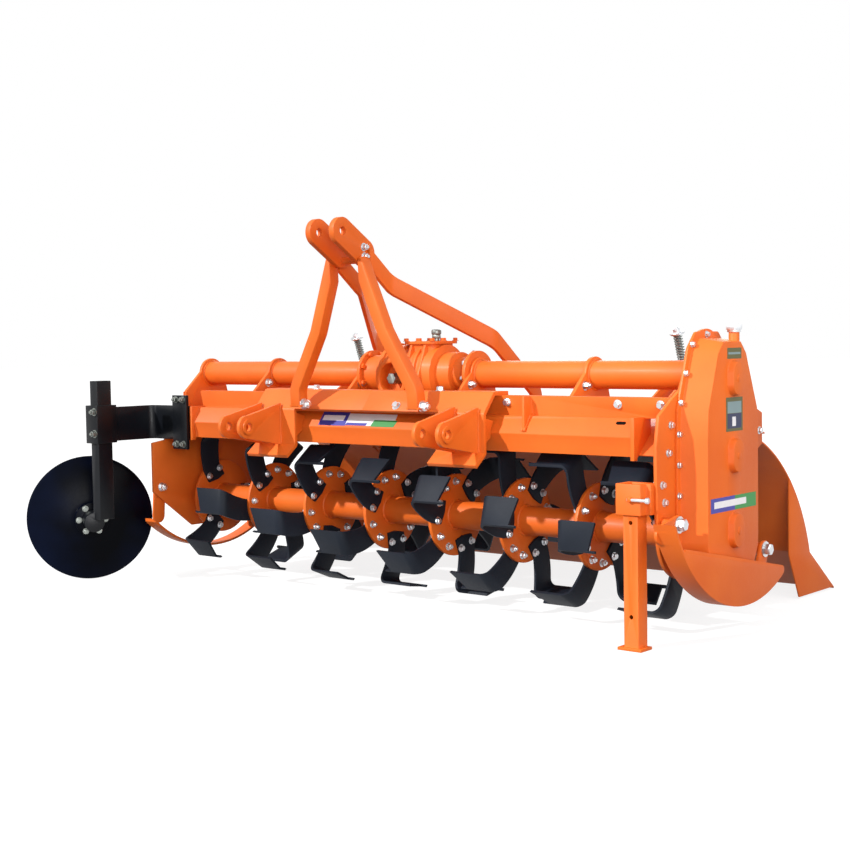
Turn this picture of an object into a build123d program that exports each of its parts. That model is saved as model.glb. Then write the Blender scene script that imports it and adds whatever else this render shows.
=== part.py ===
from build123d import *
import math
import os

os.makedirs("parts", exist_ok=True)

# Rotary tiller for a three-point hitch, in millimetres. X runs to the machine's right-hand side,
# Y to the rear and Z up. Every piece is drawn with the rotor's middle at X = 0, its axis at Y = 0
# and the floor at Z = 0. save() then moves it, so that the origin is under the machine's middle.
ORIGIN_X = -113
ORIGIN_Y = 174

# Rotor: flanges on a tube, each with L-shaped blades on its faces.
ROTOR_Z = 283
SWING = 248
FLANGES = 8
PITCH = 275
FLANGE_R = 131
FLANGE_T = 12
ROTOR_TUBE_R = 44.5
STUB_R = 25
STUB_PLAY = 0.05
WELD_GAP = 0.2
BLADE_T = 8
BLADE_W = 86
BLADE_REACH = 144
BLADE_BEND = 24
BLADE_SLANT = 24
BLADE_SWEEP = 16
STAGGER = 12.5
FIRST_BLADE = 13

# Frame: side plates, hood, front beam and the round tube above them.
SIDE_X = 1035
SIDE_T = 10
TUBE_Z = 732
TUBE_R = 42
TUBE_WALL = 6
HOOD_T = 5
HOOD_LINE = [(-188, 516), (-108, 590), (170, 606), (368, 548)]
HOOD_BEND = 60
BEAM_X = (-873, 932)
BEAM_END_T = 12
BEAM_WALL = 8
BEAM_TOP = 675
TUBE_LEFT_X = -1012
SADDLE_T = 12
SADDLES_X = (-1014, -660, -222, 242, 668)

# Three-point hitch, category II.
HITCH_X = -30
LOWER_PITCH = 825
LOWER_PIN = (-400, 571)
LOWER_PIN_R = 14.25
UPPER_PIN = (-385, 1175)
UPPER_PIN_R = 12.9
EAR_T = 12
EAR_R = 37
EAR_GAP = 76
EAR_BOSS_R = 25
EAR_BOSS_T = 8
HEAD_GAP = 78
HEAD_T = 20

# Gearboxes and power take-off.
PTO_X = HITCH_X
PTO_Z = 720
PTO_R = 17.5
CASE_FACE_X = 1130

# Skids, stand, furrow disc.
SKID_CENTRE = (40, 515)
SKID_R = 425
SKID_T = 8
STAND_X = 985
STAND_Y = -280
STAND_SIDE = 45
DISC_CENTRE = (-1250, -380)
DISC_R = 222
DISC_YAW = 58
DISC_DEPTH = 45
STANDARD = (-1095, -438)

# Rear board and its spring rods.
HINGE = (388, 541)
BOARD_X = 1000
BOARD_T = 5
ROD_X = 690
ROD_LUG = (592, 447)
ROD_TOP = (440, 870)
ROD_R = 8
GUIDE_Z = 700


def save(part, name):
    """Move a piece from its drawing place to the machine's origin and write it."""
    placed = part.moved(Location((-ORIGIN_X, -ORIGIN_Y, 0)))
    placed.label = name
    export_step(placed, f"parts/{name}.step")


def upright(outline, x, thickness, corner=0, holes=()):
    """Plate across X from x to x + thickness; outline as (y, z), holes as (y, z, radius)."""
    with BuildPart() as plate:
        with BuildSketch(Plane.YZ.offset(x)):
            with BuildLine():
                Polyline(*outline, close=True)
            make_face()
            if corner:
                fillet(vertices(), corner)
            for y, z, radius in holes:
                with Locations((y, z)):
                    Circle(radius, mode=Mode.SUBTRACT)
        extrude(amount=thickness)
    return plate.part


def link(start, end, width, x, thickness, holes=()):
    """Round-ended plate across X from (y, z) start to end; holes as (y, z, radius)."""
    length = math.dist(start, end)
    middle = ((start[0] + end[0]) / 2, (start[1] + end[1]) / 2)
    turn = math.degrees(math.atan2(end[1] - start[1], end[0] - start[0]))
    with BuildPart() as plate:
        with BuildSketch(Plane.YZ.offset(x)):
            with Locations(Location(middle, turn)):
                SlotCenterToCenter(length, width)
            for y, z, radius in holes:
                with Locations((y, z)):
                    Circle(radius, mode=Mode.SUBTRACT)
        extrude(amount=thickness)
    return plate.part


def bent_sheet(line, bend, thickness, x, width):
    """Sheet bent along a (y, z) line, extruded from x over its width."""
    with BuildPart() as sheet:
        with BuildSketch(Plane.YZ.offset(x)):
            with BuildLine():
                FilletPolyline(*line, radius=bend)
            trace(line_width=thickness)
        extrude(amount=width)
    return sheet.part


def rod_along_x(y, z, radius, x, length, bore=0):
    """Round bar or tube along X from x over its length."""
    with BuildPart() as rod:
        with BuildSketch(Plane.YZ.offset(x)):
            with Locations((y, z)):
                Circle(radius)
                if bore:
                    Circle(bore, mode=Mode.SUBTRACT)
        extrude(amount=length)
    return rod.part


# ---------------------------------------------------------------- rotor
with BuildPart() as rotor_shaft:
    with BuildSketch(Plane.YZ.offset(-1005)):
        with Locations((0, ROTOR_Z)):
            Circle(ROTOR_TUBE_R)
    extrude(amount=2010)
    with BuildSketch(Plane.YZ.offset(-1080)):
        with Locations((0, ROTOR_Z)):
            Circle(STUB_R)
    extrude(amount=2145)
save(rotor_shaft.part, "rotor_shaft")


def blade(hand):
    """One L-blade above the rotor's axis at X = 0, its wing bent towards hand (1 or -1)."""
    face = FLANGE_T / 2
    crown = SWING - 4
    section = [
        (hand * (face + BLADE_T / 2), 70),
        (hand * (face + BLADE_T / 2), crown - BLADE_T / 2),
        (hand * BLADE_REACH, crown - BLADE_T / 2),
    ]
    root = [Vector(0, y, z).rotate(Axis.X, BLADE_SWEEP)
            for y, z in ((-38, 126), (-38, 72), (38, 72), (38, 122))]
    neck_lead, foot_lead, foot_trail, neck_trail = [(p.Y, p.Z) for p in root]
    half = BLADE_W / 2
    with BuildPart() as knife:
        with BuildSketch(Plane.XZ.offset(-120)):
            with BuildLine():
                FilletPolyline(*section, radius=BLADE_BEND)
            trace(line_width=BLADE_T)
        extrude(amount=240)
        with BuildSketch(Plane.YZ.offset(-BLADE_REACH - 10)):
            with BuildLine():
                Polyline(neck_lead, foot_lead, foot_trail, neck_trail)
                ThreePointArc(neck_trail, (16, 190), (half, SWING + 5))
                Line((half, SWING + 5), (-half, SWING + 5))
                ThreePointArc((-half, SWING + 5), (-66, 190), neck_lead)
            make_face()
        extrude(amount=2 * BLADE_REACH + 20, mode=Mode.INTERSECT)
        with BuildSketch(Plane.XY.offset(SWING - 40)):
            with BuildLine():
                Polyline((hand * BLADE_REACH, -half), (hand * (BLADE_REACH - BLADE_SLANT), -half),
                         (hand * BLADE_REACH, half), close=True)
            make_face()
        extrude(amount=60, mode=Mode.SUBTRACT)
    return knife.part


BLADES = {1: blade(1), -1: blade(-1)}


def blade_ring(index):
    """Flange with its blades: three bent right and three bent left, 60 degrees apart."""
    hands = {0: (1,), FLANGES - 1: (-1,)}.get(index, (1, -1))
    with BuildPart() as ring:
        with BuildSketch(Plane.YZ.offset(-FLANGE_T / 2)):
            Circle(FLANGE_R)
            Circle(ROTOR_TUBE_R, mode=Mode.SUBTRACT)
        extrude(amount=FLANGE_T)
        for hand in hands:
            for third in range(3):
                angle = FIRST_BLADE + STAGGER * index + 120 * third + (60 if hand < 0 else 0)
                with Locations(Location((0, 0, 0), (angle, 0, 0))):
                    add(BLADES[hand])
    x = (index - (FLANGES - 1) / 2) * PITCH
    return ring.part.moved(Location((x, 0, ROTOR_Z)))


for number in range(FLANGES):
    save(blade_ring(number), f"blade_ring_{number + 1}")

# ---------------------------------------------------------------- hood and beam
hood_half = SIDE_X - WELD_GAP
save(bent_sheet(HOOD_LINE, HOOD_BEND, HOOD_T, -hood_half, 2 * hood_half), "hood_shell")

(front_y, front_z), (knee_y, knee_z) = HOOD_LINE[:2]
hood_slope = (knee_z - front_z) / (knee_y - front_y)
hood_rise = HOOD_T / 2 * math.hypot(1, hood_slope) + WELD_GAP


def hood_top(y):
    """Height of the outer face of the hood's front slope, with a weld gap."""
    return front_z + hood_slope * (y - front_y) + hood_rise


# Box beam: a lip at the foot, two bright slopes, then an upper band set back behind a ledge.
LIP_Y, NOSE_Y, END_Y, BEAM_REAR_Y = (-196, -207, -216, -128)
BAND_FOOT_Y, BAND_TOP_Y = (-162, -174)
LEDGE_Z = 617
beam_outline = [(LIP_Y, hood_top(LIP_Y)), (LIP_Y, 530), (NOSE_Y, 566), (-180, LEDGE_Z),
                (BAND_FOOT_Y, LEDGE_Z), (BAND_TOP_Y, BEAM_TOP), (BEAM_REAR_Y, BEAM_TOP),
                (BEAM_REAR_Y, hood_top(BEAM_REAR_Y))]
beam_end_outline = [(-199, 503), (END_Y, 503), (END_Y, LEDGE_Z + 4), (BEAM_REAR_Y, LEDGE_Z + 4),
                    (BEAM_REAR_Y, hood_top(BEAM_REAR_Y)), (-199, hood_top(-199))]
BAND_T = 8
band_outline = [(BAND_FOOT_Y, LEDGE_Z), (BAND_TOP_Y, BEAM_TOP), (BEAM_REAR_Y, BEAM_TOP),
                (BEAM_REAR_Y, BEAM_TOP - BAND_T), (BAND_TOP_Y + BAND_T, BEAM_TOP - BAND_T),
                (BAND_FOOT_Y + BAND_T, LEDGE_Z)]
GUSSET_X = 558
gusset_outline = [(-206, 572), (-206, BEAM_TOP), (BAND_TOP_Y + 2, BEAM_TOP),
                  (BAND_FOOT_Y + 2, LEDGE_Z - 2), (-182, LEDGE_Z - 2)]
with BuildPart() as front_beam:
    with BuildSketch(Plane.YZ.offset(BEAM_X[0])):
        with BuildLine():
            Polyline(*beam_outline, close=True)
        make_face()
        fillet(vertices().group_by(Axis.X)[0], 6)
        offset(amount=-BEAM_WALL, mode=Mode.SUBTRACT)
    extrude(amount=BEAM_X[1] - BEAM_X[0])
    # The band runs on to the right side plate; a gusset stands on the beam's face.
    add(upright(band_outline, BEAM_X[1], hood_half - BEAM_X[1]))
    add(upright(gusset_outline, GUSSET_X, BAND_T))
    for x in (BEAM_X[0] - BEAM_END_T, BEAM_X[1]):
        add(upright(beam_end_outline, x, BEAM_END_T))
save(front_beam.part, "front_beam")

for name, x0, x1 in (("left", TUBE_LEFT_X, SADDLES_X[2]), ("right", SADDLES_X[3] + SADDLE_T, SIDE_X)):
    save(rod_along_x(0, TUBE_Z, TUBE_R, x0, x1 - x0, TUBE_R - TUBE_WALL), f"main_tube_{name}")

# Saddle plates: rounded over the tube, their front edge sloping down to the beam.
SADDLE_FOOT = [(-127.5, BEAM_TOP - 4), (-127.5, 572), (-108, 586.5), (-80, 591.5), (90, 601.4)]
hood_skin = bent_sheet(HOOD_LINE, HOOD_BEND, HOOD_T + 0.4, -1100, 2200)
with BuildPart() as saddles:
    for x in SADDLES_X:
        with BuildSketch(Plane.YZ.offset(x)):
            with Locations((0, TUBE_Z)):
                Circle(TUBE_R + 12)
            with BuildLine():
                Polyline((-TUBE_R - 10, TUBE_Z + 8), *SADDLE_FOOT, (TUBE_R + 10, TUBE_Z + 8), close=True)
            make_face()
            if x not in SADDLES_X[2:4]:
                with Locations((0, TUBE_Z)):
                    Circle(TUBE_R, mode=Mode.SUBTRACT)
        extrude(amount=SADDLE_T)
    add(hood_skin, mode=Mode.SUBTRACT)
save(saddles.part, "tube_saddles")

# Side plates. Both are cut to the same lower outline; the right one also backs the gear case.
PLATE_REAR = [(-262, 314), (-85, 178), (120, 178), (262, 190), (285, 240), (222, 330), (222, 440),
              (300, 505), (332, 520), (332, 612)]
STUB_HOLE_R = 32
LEFT_FRONT = [(150, 610), (110, 652), (-52, 652), (-128, 600), (-196, 527), (-203, 498), (-262, 490)]
RIGHT_FRONT = [(110, 700), (97, 775), (-90, 775), (-138, 697), (-186, 670), (-250, 630), (-266, 545)]
for name, x, front, crown in (
    ("left", -SIDE_X - SIDE_T, LEFT_FRONT, (30, 612, 40)),
    ("right", SIDE_X, RIGHT_FRONT, (5, 768, 94)),
):
    with BuildPart() as side_plate:
        with BuildSketch(Plane.YZ.offset(x)):
            with BuildLine():
                Polyline(*PLATE_REAR, *front, close=True)
            make_face()
            with Locations(crown[:2]):
                Circle(crown[2])
            with Locations((0, ROTOR_Z)):
                Circle(STUB_HOLE_R, mode=Mode.SUBTRACT)
        extrude(amount=SIDE_T)
    save(side_plate.part, f"side_plate_{name}")

# Rotor bearing on the left side plate: flange, hub and cap.
with BuildPart() as rotor_bearing:
    for x, length, radius in ((-1055, 10, 82), (-1086, 31, 58)):
        with BuildSketch(Plane.YZ.offset(x)):
            with Locations((0, ROTOR_Z)):
                Circle(radius)
        extrude(amount=length)
    with BuildSketch(Plane.YZ.offset(-1082)):
        with Locations((0, ROTOR_Z)):
            Circle(STUB_R + STUB_PLAY)
    extrude(amount=40, mode=Mode.SUBTRACT)
save(rotor_bearing.part, "rotor_bearing")

# ---------------------------------------------------------------- gear case
CASE_OUTLINE = [(-156, 560), (-152, 640), (-96, 800), (-60, 838),
                (50, 838), (86, 800), (152, 640), (156, 560)]
CASE_R = 156
CASE_RIM = 16
CASE_RIM_T = 8
CASE_BOSSES_Z = (724, 511, 303)
CAP_AT = (1110, 42)
CAP_Z = 851
case_x = SIDE_X + SIDE_T
with BuildPart() as gear_case:
    with BuildSketch(Plane.YZ.offset(case_x)):
        with BuildLine():
            Polyline((-CASE_R, ROTOR_Z), *CASE_OUTLINE, (CASE_R, ROTOR_Z))
            ThreePointArc((CASE_R, ROTOR_Z), (0, ROTOR_Z - CASE_R), (-CASE_R, ROTOR_Z))
        make_face()
    extrude(amount=CASE_FACE_X - case_x, taper=9)
    with BuildSketch(Plane.YZ.offset(case_x)):
        with BuildLine():
            Polyline((-CASE_R, ROTOR_Z), *CASE_OUTLINE, (CASE_R, ROTOR_Z))
            ThreePointArc((CASE_R, ROTOR_Z), (0, ROTOR_Z - CASE_R), (-CASE_R, ROTOR_Z))
        make_face()
        offset(amount=CASE_RIM, kind=Kind.ARC)
    extrude(amount=CASE_RIM_T)
    with BuildSketch(Plane.YZ.offset(CASE_FACE_X)):
        with Locations(*[Location((0, z), 90) for z in CASE_BOSSES_Z]):
            SlotOverall(100, 66)
    extrude(amount=18, taper=14)
    with BuildSketch(Plane.YZ.offset(case_x)):
        with Locations((0, ROTOR_Z)):
            Circle(STUB_R + STUB_PLAY)
    extrude(amount=24, mode=Mode.SUBTRACT)
    with BuildSketch(Plane.XY.offset(800)):
        with Locations(CAP_AT):
            Circle(15)
    extrude(amount=CAP_Z - 800)
save(gear_case.part, "gear_case")

with BuildPart() as filler_cap:
    with BuildSketch(Plane.XY.offset(CAP_Z + 0.1)):
        with Locations(CAP_AT):
            Circle(19)
    extrude(amount=7)
    with BuildSketch(Plane.XY.offset(CAP_Z + 7)):
        with Locations(CAP_AT):
            RegularPolygon(25, 6)
    extrude(amount=15)
save(filler_cap.part, "filler_cap")

# ---------------------------------------------------------------- central gearbox
INPUT_Y = -60
COLLAR_T = 8
GUARD_R = 65
GUARD_DEPTH = 44
BORE_Y = -15
SPLINE_LENGTH = 60
TURNED = [
    # x start, length, radius
    (-210, 12, 78),
    (-210, 105, 62),
    (-110, 225, 94),
    (-96, 10, 101),
    (-30, 10, 101),
    (44, 10, 101),
    (112, 60, 70),
    (160, 50, 54),
    (206, 36, 50),
    (230, 12, 74),
]
COVER_AT = (46, 0)
COVER_Z = 829
BOX_R = 72
BOX_REAR_Y = 120
BOX_FOOT_Z = 599.2
RIBS_X = (14, 70)
RIB_T = 9
RIB_FOOT_Z = 640
RIB_OUTLINE = [(-64, COVER_Z), (-104, TUBE_Z), (-88, RIB_FOOT_Z), (0, RIB_FOOT_Z), (0, COVER_Z)]
with BuildPart() as gearbox:
    for x, length, radius in TURNED:
        with BuildSketch(Plane.YZ.offset(x)):
            with Locations((0, TUBE_Z)):
                Circle(radius)
        extrude(amount=length)
    with BuildSketch(Plane.XZ.offset(-BOX_REAR_Y)):
        with Locations((PTO_X, PTO_Z)):
            Circle(BOX_R)
    extrude(amount=BOX_REAR_Y - INPUT_Y)
    with BuildSketch(Plane.XZ.offset(-INPUT_Y)):
        with Locations((PTO_X, PTO_Z)):
            Circle(GUARD_R)
    extrude(amount=COLLAR_T)
    with BuildSketch(Plane.XZ.offset(-BORE_Y)):
        with Locations((PTO_X, PTO_Z)):
            Circle(PTO_R + 0.05)
    extrude(amount=60, mode=Mode.SUBTRACT)
    # Top of the casting with its bolted cover, and two ribs down its front.
    with BuildSketch(Plane.XY.offset(TUBE_Z)):
        with Locations(COVER_AT):
            RectangleRounded(108, 118, 22)
    extrude(amount=COVER_Z - TUBE_Z)
    with BuildSketch(Plane.XY.offset(COVER_Z)):
        with Locations(COVER_AT):
            RectangleRounded(132, 138, 26)
    extrude(amount=9)
    for x in RIBS_X:
        add(upright(RIB_OUTLINE, x, RIB_T))
    with BuildSketch(Plane.XY.offset(BOX_FOOT_Z)):
        RectangleRounded(180, 150, 20)
    extrude(amount=60)
    # The shaft's guard sits in a round recess of the casting.
    with BuildSketch(Plane.XZ.offset(COLLAR_T - INPUT_Y)):
        with Locations((PTO_X, PTO_Z)):
            Circle(GUARD_R + 0.3)
    extrude(amount=60, mode=Mode.SUBTRACT)
    add(hood_skin, mode=Mode.SUBTRACT)
save(gearbox.part, "gearbox")

with BuildPart() as pto_guard:
    with BuildSketch(Plane.XZ.offset(COLLAR_T - INPUT_Y + 0.2)):
        with Locations((PTO_X, PTO_Z)):
            Circle(GUARD_R)
            Circle(50, mode=Mode.SUBTRACT)
    extrude(amount=GUARD_DEPTH)
save(pto_guard.part, "pto_guard")

with BuildPart() as pto_shaft:
    with BuildSketch(Plane.XZ.offset(-BORE_Y)):
        with Locations((PTO_X, PTO_Z)):
            Circle(PTO_R)
    extrude(amount=36)
    with BuildSketch(Plane.XZ.offset(36 - BORE_Y)):
        with Locations((PTO_X, PTO_Z)):
            Circle(PTO_R - 2.4)
            with PolarLocations(0, 6):
                with Locations((PTO_R - 4, 0)):
                    Rectangle(7, 8.7)
            Circle(PTO_R, mode=Mode.INTERSECT)
    extrude(amount=SPLINE_LENGTH)
save(pto_shaft.part, "pto_shaft")

# ---------------------------------------------------------------- hitch
CLAMP_W = 184
CLAMP_T = 12
CLAMP_IN = 22
CLAMP_Y = -246
APRON_LINE = [(-164, BEAM_TOP + CLAMP_T / 2), (-198, BEAM_TOP + CLAMP_T / 2), (CLAMP_Y, 622)]
CLAMP_LINE = [(-130, BEAM_TOP + CLAMP_T / 2), *APRON_LINE[1:], (CLAMP_Y, 506), (-290, 471)]
CLAMP_RIB = [(CLAMP_Y + 5, 612), (CLAMP_Y + 5, 530), (-210, 552), (-208.5, 572), (-196, 600)]
ear_back = CLAMP_Y - CLAMP_T / 2 + 2
for name, side in (("left", -1), ("right", 1)):
    centre = HITCH_X + side * LOWER_PITCH / 2
    plate_x = centre - side * CLAMP_IN - CLAMP_W / 2
    inner_x = centre - side * (CLAMP_IN + CLAMP_W / 2 - 5)
    with BuildPart() as clamp:
        add(bent_sheet(CLAMP_LINE, 10, CLAMP_T, plate_x, CLAMP_W))
        add(bent_sheet(APRON_LINE, 10, CLAMP_T, min(inner_x, HITCH_X + side * 0.1),
                       abs(inner_x - HITCH_X) - 0.1))
        for x in (plate_x + 8, plate_x + CLAMP_W - 18):
            add(upright(CLAMP_RIB, x, 10))
        for x, boss_x in ((centre - EAR_GAP / 2 - EAR_T, centre - EAR_GAP / 2 - EAR_T - EAR_BOSS_T),
                          (centre + EAR_GAP / 2, centre + EAR_GAP / 2 + EAR_T)):
            add(upright([(ear_back, 506), (ear_back, 642), (-398, 608), (-398, 534)], x, EAR_T))
            add(rod_along_x(*LOWER_PIN, EAR_R, x, EAR_T))
            add(rod_along_x(*LOWER_PIN, EAR_BOSS_R, boss_x, EAR_BOSS_T))
        with BuildSketch(Plane.YZ.offset(centre - 80)):
            with Locations(LOWER_PIN):
                Circle(LOWER_PIN_R)
        extrude(amount=160, mode=Mode.SUBTRACT)
    save(clamp.part, f"hitch_clamp_{name}")

HEAD_END = (-286, 1112)
HEAD_BAR = (-282, 1092)
with BuildPart() as mast_head:
    for x in (HITCH_X - HEAD_GAP / 2 - HEAD_T, HITCH_X + HEAD_GAP / 2):
        add(link(UPPER_PIN, HEAD_END, 84, x, HEAD_T, holes=[(*UPPER_PIN, UPPER_PIN_R)]))
    with BuildSketch(Plane.YZ.offset(HITCH_X - HEAD_GAP / 2)):
        with Locations(HEAD_BAR):
            Circle(12)
    extrude(amount=HEAD_GAP)
save(mast_head.part, "mast_head")

# Mast legs: box section in a plane that leans forward to the head; (x from the hitch's middle, z).
head_half = HEAD_GAP / 2 + HEAD_T
LEG_LINE = [(248, 636), (248, 692), (141, 872), (54, 1096)]
LEG_W = 40
LEG_D = 40
LEG_REAR_Y = -258
LEG_LEAN = 3.4
leg_plane = Plane(origin=(HITCH_X, LEG_REAR_Y, LEG_LINE[0][1]), x_dir=(1, 0, 0),
                  z_dir=Vector(0, -1, 0).rotate(Axis.X, LEG_LEAN))
for name, side in (("left", -1), ("right", 1)):
    with BuildPart() as leg:
        with BuildSketch(leg_plane):
            with BuildLine():
                FilletPolyline(*[(side * x, z - LEG_LINE[0][1]) for x, z in LEG_LINE], radius=60)
            trace(line_width=LEG_W)
        extrude(amount=LEG_D)
        with BuildSketch(Plane.XY.offset(900)):
            with Locations((HITCH_X, -300)):
                Rectangle(2 * head_half + 0.2, 200)
        extrude(amount=300, mode=Mode.SUBTRACT)
    save(leg.part, f"mast_leg_{name}")

# Rear stays: flat bars that run back from the head, splay out and run back again to the hood.
STAY_T = 14
STAY_DEPTH = 50
stay_x = head_half + 0.1 + STAY_T / 2
STAY_SPLAY_X = 258
STAY_PLAN_Y = (-278, -180, 100, 360)
STAY_FALL = [(-330, 1136), (-180, 1015), (100, 840), (318, 668), (340, 545)]
deck_slope = math.degrees(math.atan2(HOOD_LINE[2][1] - HOOD_LINE[3][1], HOOD_LINE[3][0] - HOOD_LINE[2][0]))
deck = Plane(origin=(0, HOOD_LINE[2][0], HOOD_LINE[2][1] + 3), x_dir=(1, 0, 0),
             z_dir=Vector(0, 0, 1).rotate(Axis.X, -deck_slope))
stay_fall = bent_sheet(STAY_FALL, 50, STAY_DEPTH, -600, 1200)
for name, side in (("left", -1), ("right", 1)):
    stay_plan = [(HITCH_X + side * x, y)
                 for x, y in zip((stay_x, stay_x, STAY_SPLAY_X, STAY_SPLAY_X), STAY_PLAN_Y)]
    with BuildPart() as stay:
        with BuildSketch(Plane.XY.offset(500)):
            with BuildLine():
                FilletPolyline(*stay_plan, radius=40)
            trace(line_width=STAY_T)
        extrude(amount=700)
        add(stay_fall, mode=Mode.INTERSECT)
        split(bisect_by=deck, keep=Keep.TOP)
    save(stay.part, f"mast_stay_{name}")

# ---------------------------------------------------------------- skids
LEFT_SKID_CUT = [(-250, 330), (300, 128), (300, -60), (-250, -60)]
RIGHT_SKID_CUT = [(-420, 377), (300, 128), (300, -60), (-420, -60)]
SKID_PLATE_CUT = [(-340, 295), (290, 167), (290, -60), (-340, -60)]
LEFT_TABS = [((-225, 330), (-232, 226)), ((254, 217), (226, 160))]
RIGHT_TABS = [((-233, 340), (-322, 322)), ((254, 217), (226, 160))]
TAB_W = 50
SKID_LEFT_W = 56
SKID_RIGHT_X = (1085, 1150)


def skid(x, width, cut):
    """Curved strap beside the machine, from x over its width, kept inside a (y, z) polygon."""
    with BuildPart() as strap:
        with BuildSketch(Plane.YZ.offset(x)):
            with Locations(SKID_CENTRE):
                Circle(SKID_R)
                Circle(SKID_R - SKID_T, mode=Mode.SUBTRACT)
            with BuildLine():
                Polyline(*cut, close=True)
            make_face(mode=Mode.INTERSECT)
        extrude(amount=width)
    return strap.part


with BuildPart() as skid_left:
    add(skid(-SIDE_X - SIDE_T - SKID_LEFT_W, SKID_LEFT_W, LEFT_SKID_CUT))
    for start, end in LEFT_TABS:
        add(link(start, end, TAB_W, -SIDE_X - SIDE_T - SKID_T, SKID_T))
save(skid_left.part, "skid_left")

# The right skid stands clear of the gear case and has a D-shaped plate on its outer face.
with BuildPart() as skid_right:
    add(skid(SKID_RIGHT_X[0], SKID_RIGHT_X[1] - SKID_RIGHT_X[0], RIGHT_SKID_CUT))
    with BuildSketch(Plane.YZ.offset(SKID_RIGHT_X[1] - SKID_T)):
        with Locations(SKID_CENTRE):
            Circle(SKID_R)
        with BuildLine():
            Polyline(*SKID_PLATE_CUT, close=True)
        make_face(mode=Mode.INTERSECT)
        fillet(vertices(), 14)
    extrude(amount=SKID_T)
    for start, end in RIGHT_TABS:
        add(link(start, end, TAB_W, SKID_RIGHT_X[0], SKID_T))
        add(rod_along_x(*start, 18, case_x, SKID_RIGHT_X[0] - case_x + 2))
save(skid_right.part, "skid_right")

# ---------------------------------------------------------------- stand
SOCKET_Z = (366, 450)
SOCKET_X = (943, 1021)
SOCKET_Y = (-310, -243)
STAND_WALL = 4
STAND_TOP = 445
FOOT_T = 8
socket_half = STAND_SIDE / 2 + 0.5
with BuildPart() as stand_socket:
    with BuildSketch(Plane.XY.offset(SOCKET_Z[0])):
        with Locations(((SOCKET_X[0] + SOCKET_X[1]) / 2, (SOCKET_Y[0] + SOCKET_Y[1]) / 2)):
            Rectangle(SOCKET_X[1] - SOCKET_X[0], SOCKET_Y[1] - SOCKET_Y[0])
        with Locations(((STAND_X + 25 + SIDE_X) / 2, -262)):
            Rectangle(SIDE_X - STAND_X - 25, 38)
        with Locations((STAND_X, STAND_Y)):
            Rectangle(2 * socket_half, 2 * socket_half, mode=Mode.SUBTRACT)
    extrude(amount=SOCKET_Z[1] - SOCKET_Z[0])
save(stand_socket.part, "stand_socket")

with BuildPart() as stand_leg:
    with BuildSketch():
        with Locations((STAND_X, STAND_Y - 6)):
            Rectangle(74, 56)
    extrude(amount=FOOT_T)
    with BuildSketch(Plane.XY.offset(FOOT_T)):
        with Locations((STAND_X, STAND_Y)):
            Rectangle(STAND_SIDE, STAND_SIDE)
            Rectangle(STAND_SIDE - 2 * STAND_WALL, STAND_SIDE - 2 * STAND_WALL, mode=Mode.SUBTRACT)
    extrude(amount=STAND_TOP - FOOT_T)
    with BuildSketch(Plane.XZ.offset(250)):
        with Locations((STAND_X, 90), (STAND_X, 345)):
            Circle(6)
    extrude(amount=60, mode=Mode.SUBTRACT)
save(stand_leg.part, "stand_leg")

# ---------------------------------------------------------------- furrow disc
ARM_Z = (503, 623)
ARM_LINE = [(-889, -212), (-1088, -212), (-1101, -402)]
ARM_T = 12
FLANGE_AT = (-924, 565)
CLAMP_Z = (500, 632)
BAR = (40, 60)
with BuildPart() as disc_arm:
    with BuildSketch(Plane.XY.offset(ARM_Z[0])):
        with BuildLine():
            FilletPolyline(*ARM_LINE, radius=30)
        trace(line_width=ARM_T)
    extrude(amount=ARM_Z[1] - ARM_Z[0])
    with BuildSketch(Plane.XZ.offset(218)):
        with Locations(FLANGE_AT):
            Rectangle(74, 190)
    extrude(amount=ARM_T)
    with BuildSketch(Plane.YZ.offset(-961)):
        with BuildLine():
            Polyline((-206, 531), (-206, 606), (-128, 606), (-128, hood_top(-128)),
                     (-176, hood_top(-176)), close=True)
        make_face()
    extrude(amount=74)
    with BuildSketch(Plane.XY.offset(CLAMP_Z[0])):
        with Locations(STANDARD):
            Rectangle(BAR[0] + 24, BAR[1] + 24)
            Rectangle(*BAR, mode=Mode.SUBTRACT)
    extrude(amount=CLAMP_Z[1] - CLAMP_Z[0])
    with BuildSketch(Plane.XY.offset(CLAMP_Z[0])):
        with Locations(STANDARD):
            Rectangle(*BAR)
    extrude(amount=CLAMP_Z[1] - CLAMP_Z[0], mode=Mode.SUBTRACT)
save(disc_arm.part, "disc_arm")

disc_axis = Vector(0, -1, 0).rotate(Axis.Z, DISC_YAW)
disc_plane = Plane(origin=(*DISC_CENTRE, DISC_R), z_dir=disc_axis)
HUB_R = 60
SPINDLE_R = 15
SPINDLE_END = 168
HOUSING_R = 34
HOUSING_START = 82
BAR_Z = (232, 717)
with BuildPart() as disc_standard:
    with BuildSketch(Plane.XY.offset(BAR_Z[0])):
        with Locations(STANDARD):
            Rectangle(*BAR)
    extrude(amount=BAR_Z[1] - BAR_Z[0])
    with BuildSketch(disc_plane.offset(HOUSING_START)):
        Circle(HOUSING_R)
    extrude(amount=SPINDLE_END - HOUSING_START)
    with BuildSketch(disc_plane.offset(20)):
        Circle(SPINDLE_R)
    extrude(amount=SPINDLE_END - 20)
save(disc_standard.part, "disc_standard")

dish_r = (DISC_R**2 + DISC_DEPTH**2) / (2 * DISC_DEPTH)


def dish_z(radius):
    """Height of the dish's outer face above its rim plane."""
    return DISC_DEPTH - dish_r + math.sqrt(dish_r**2 - radius**2)


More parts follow.
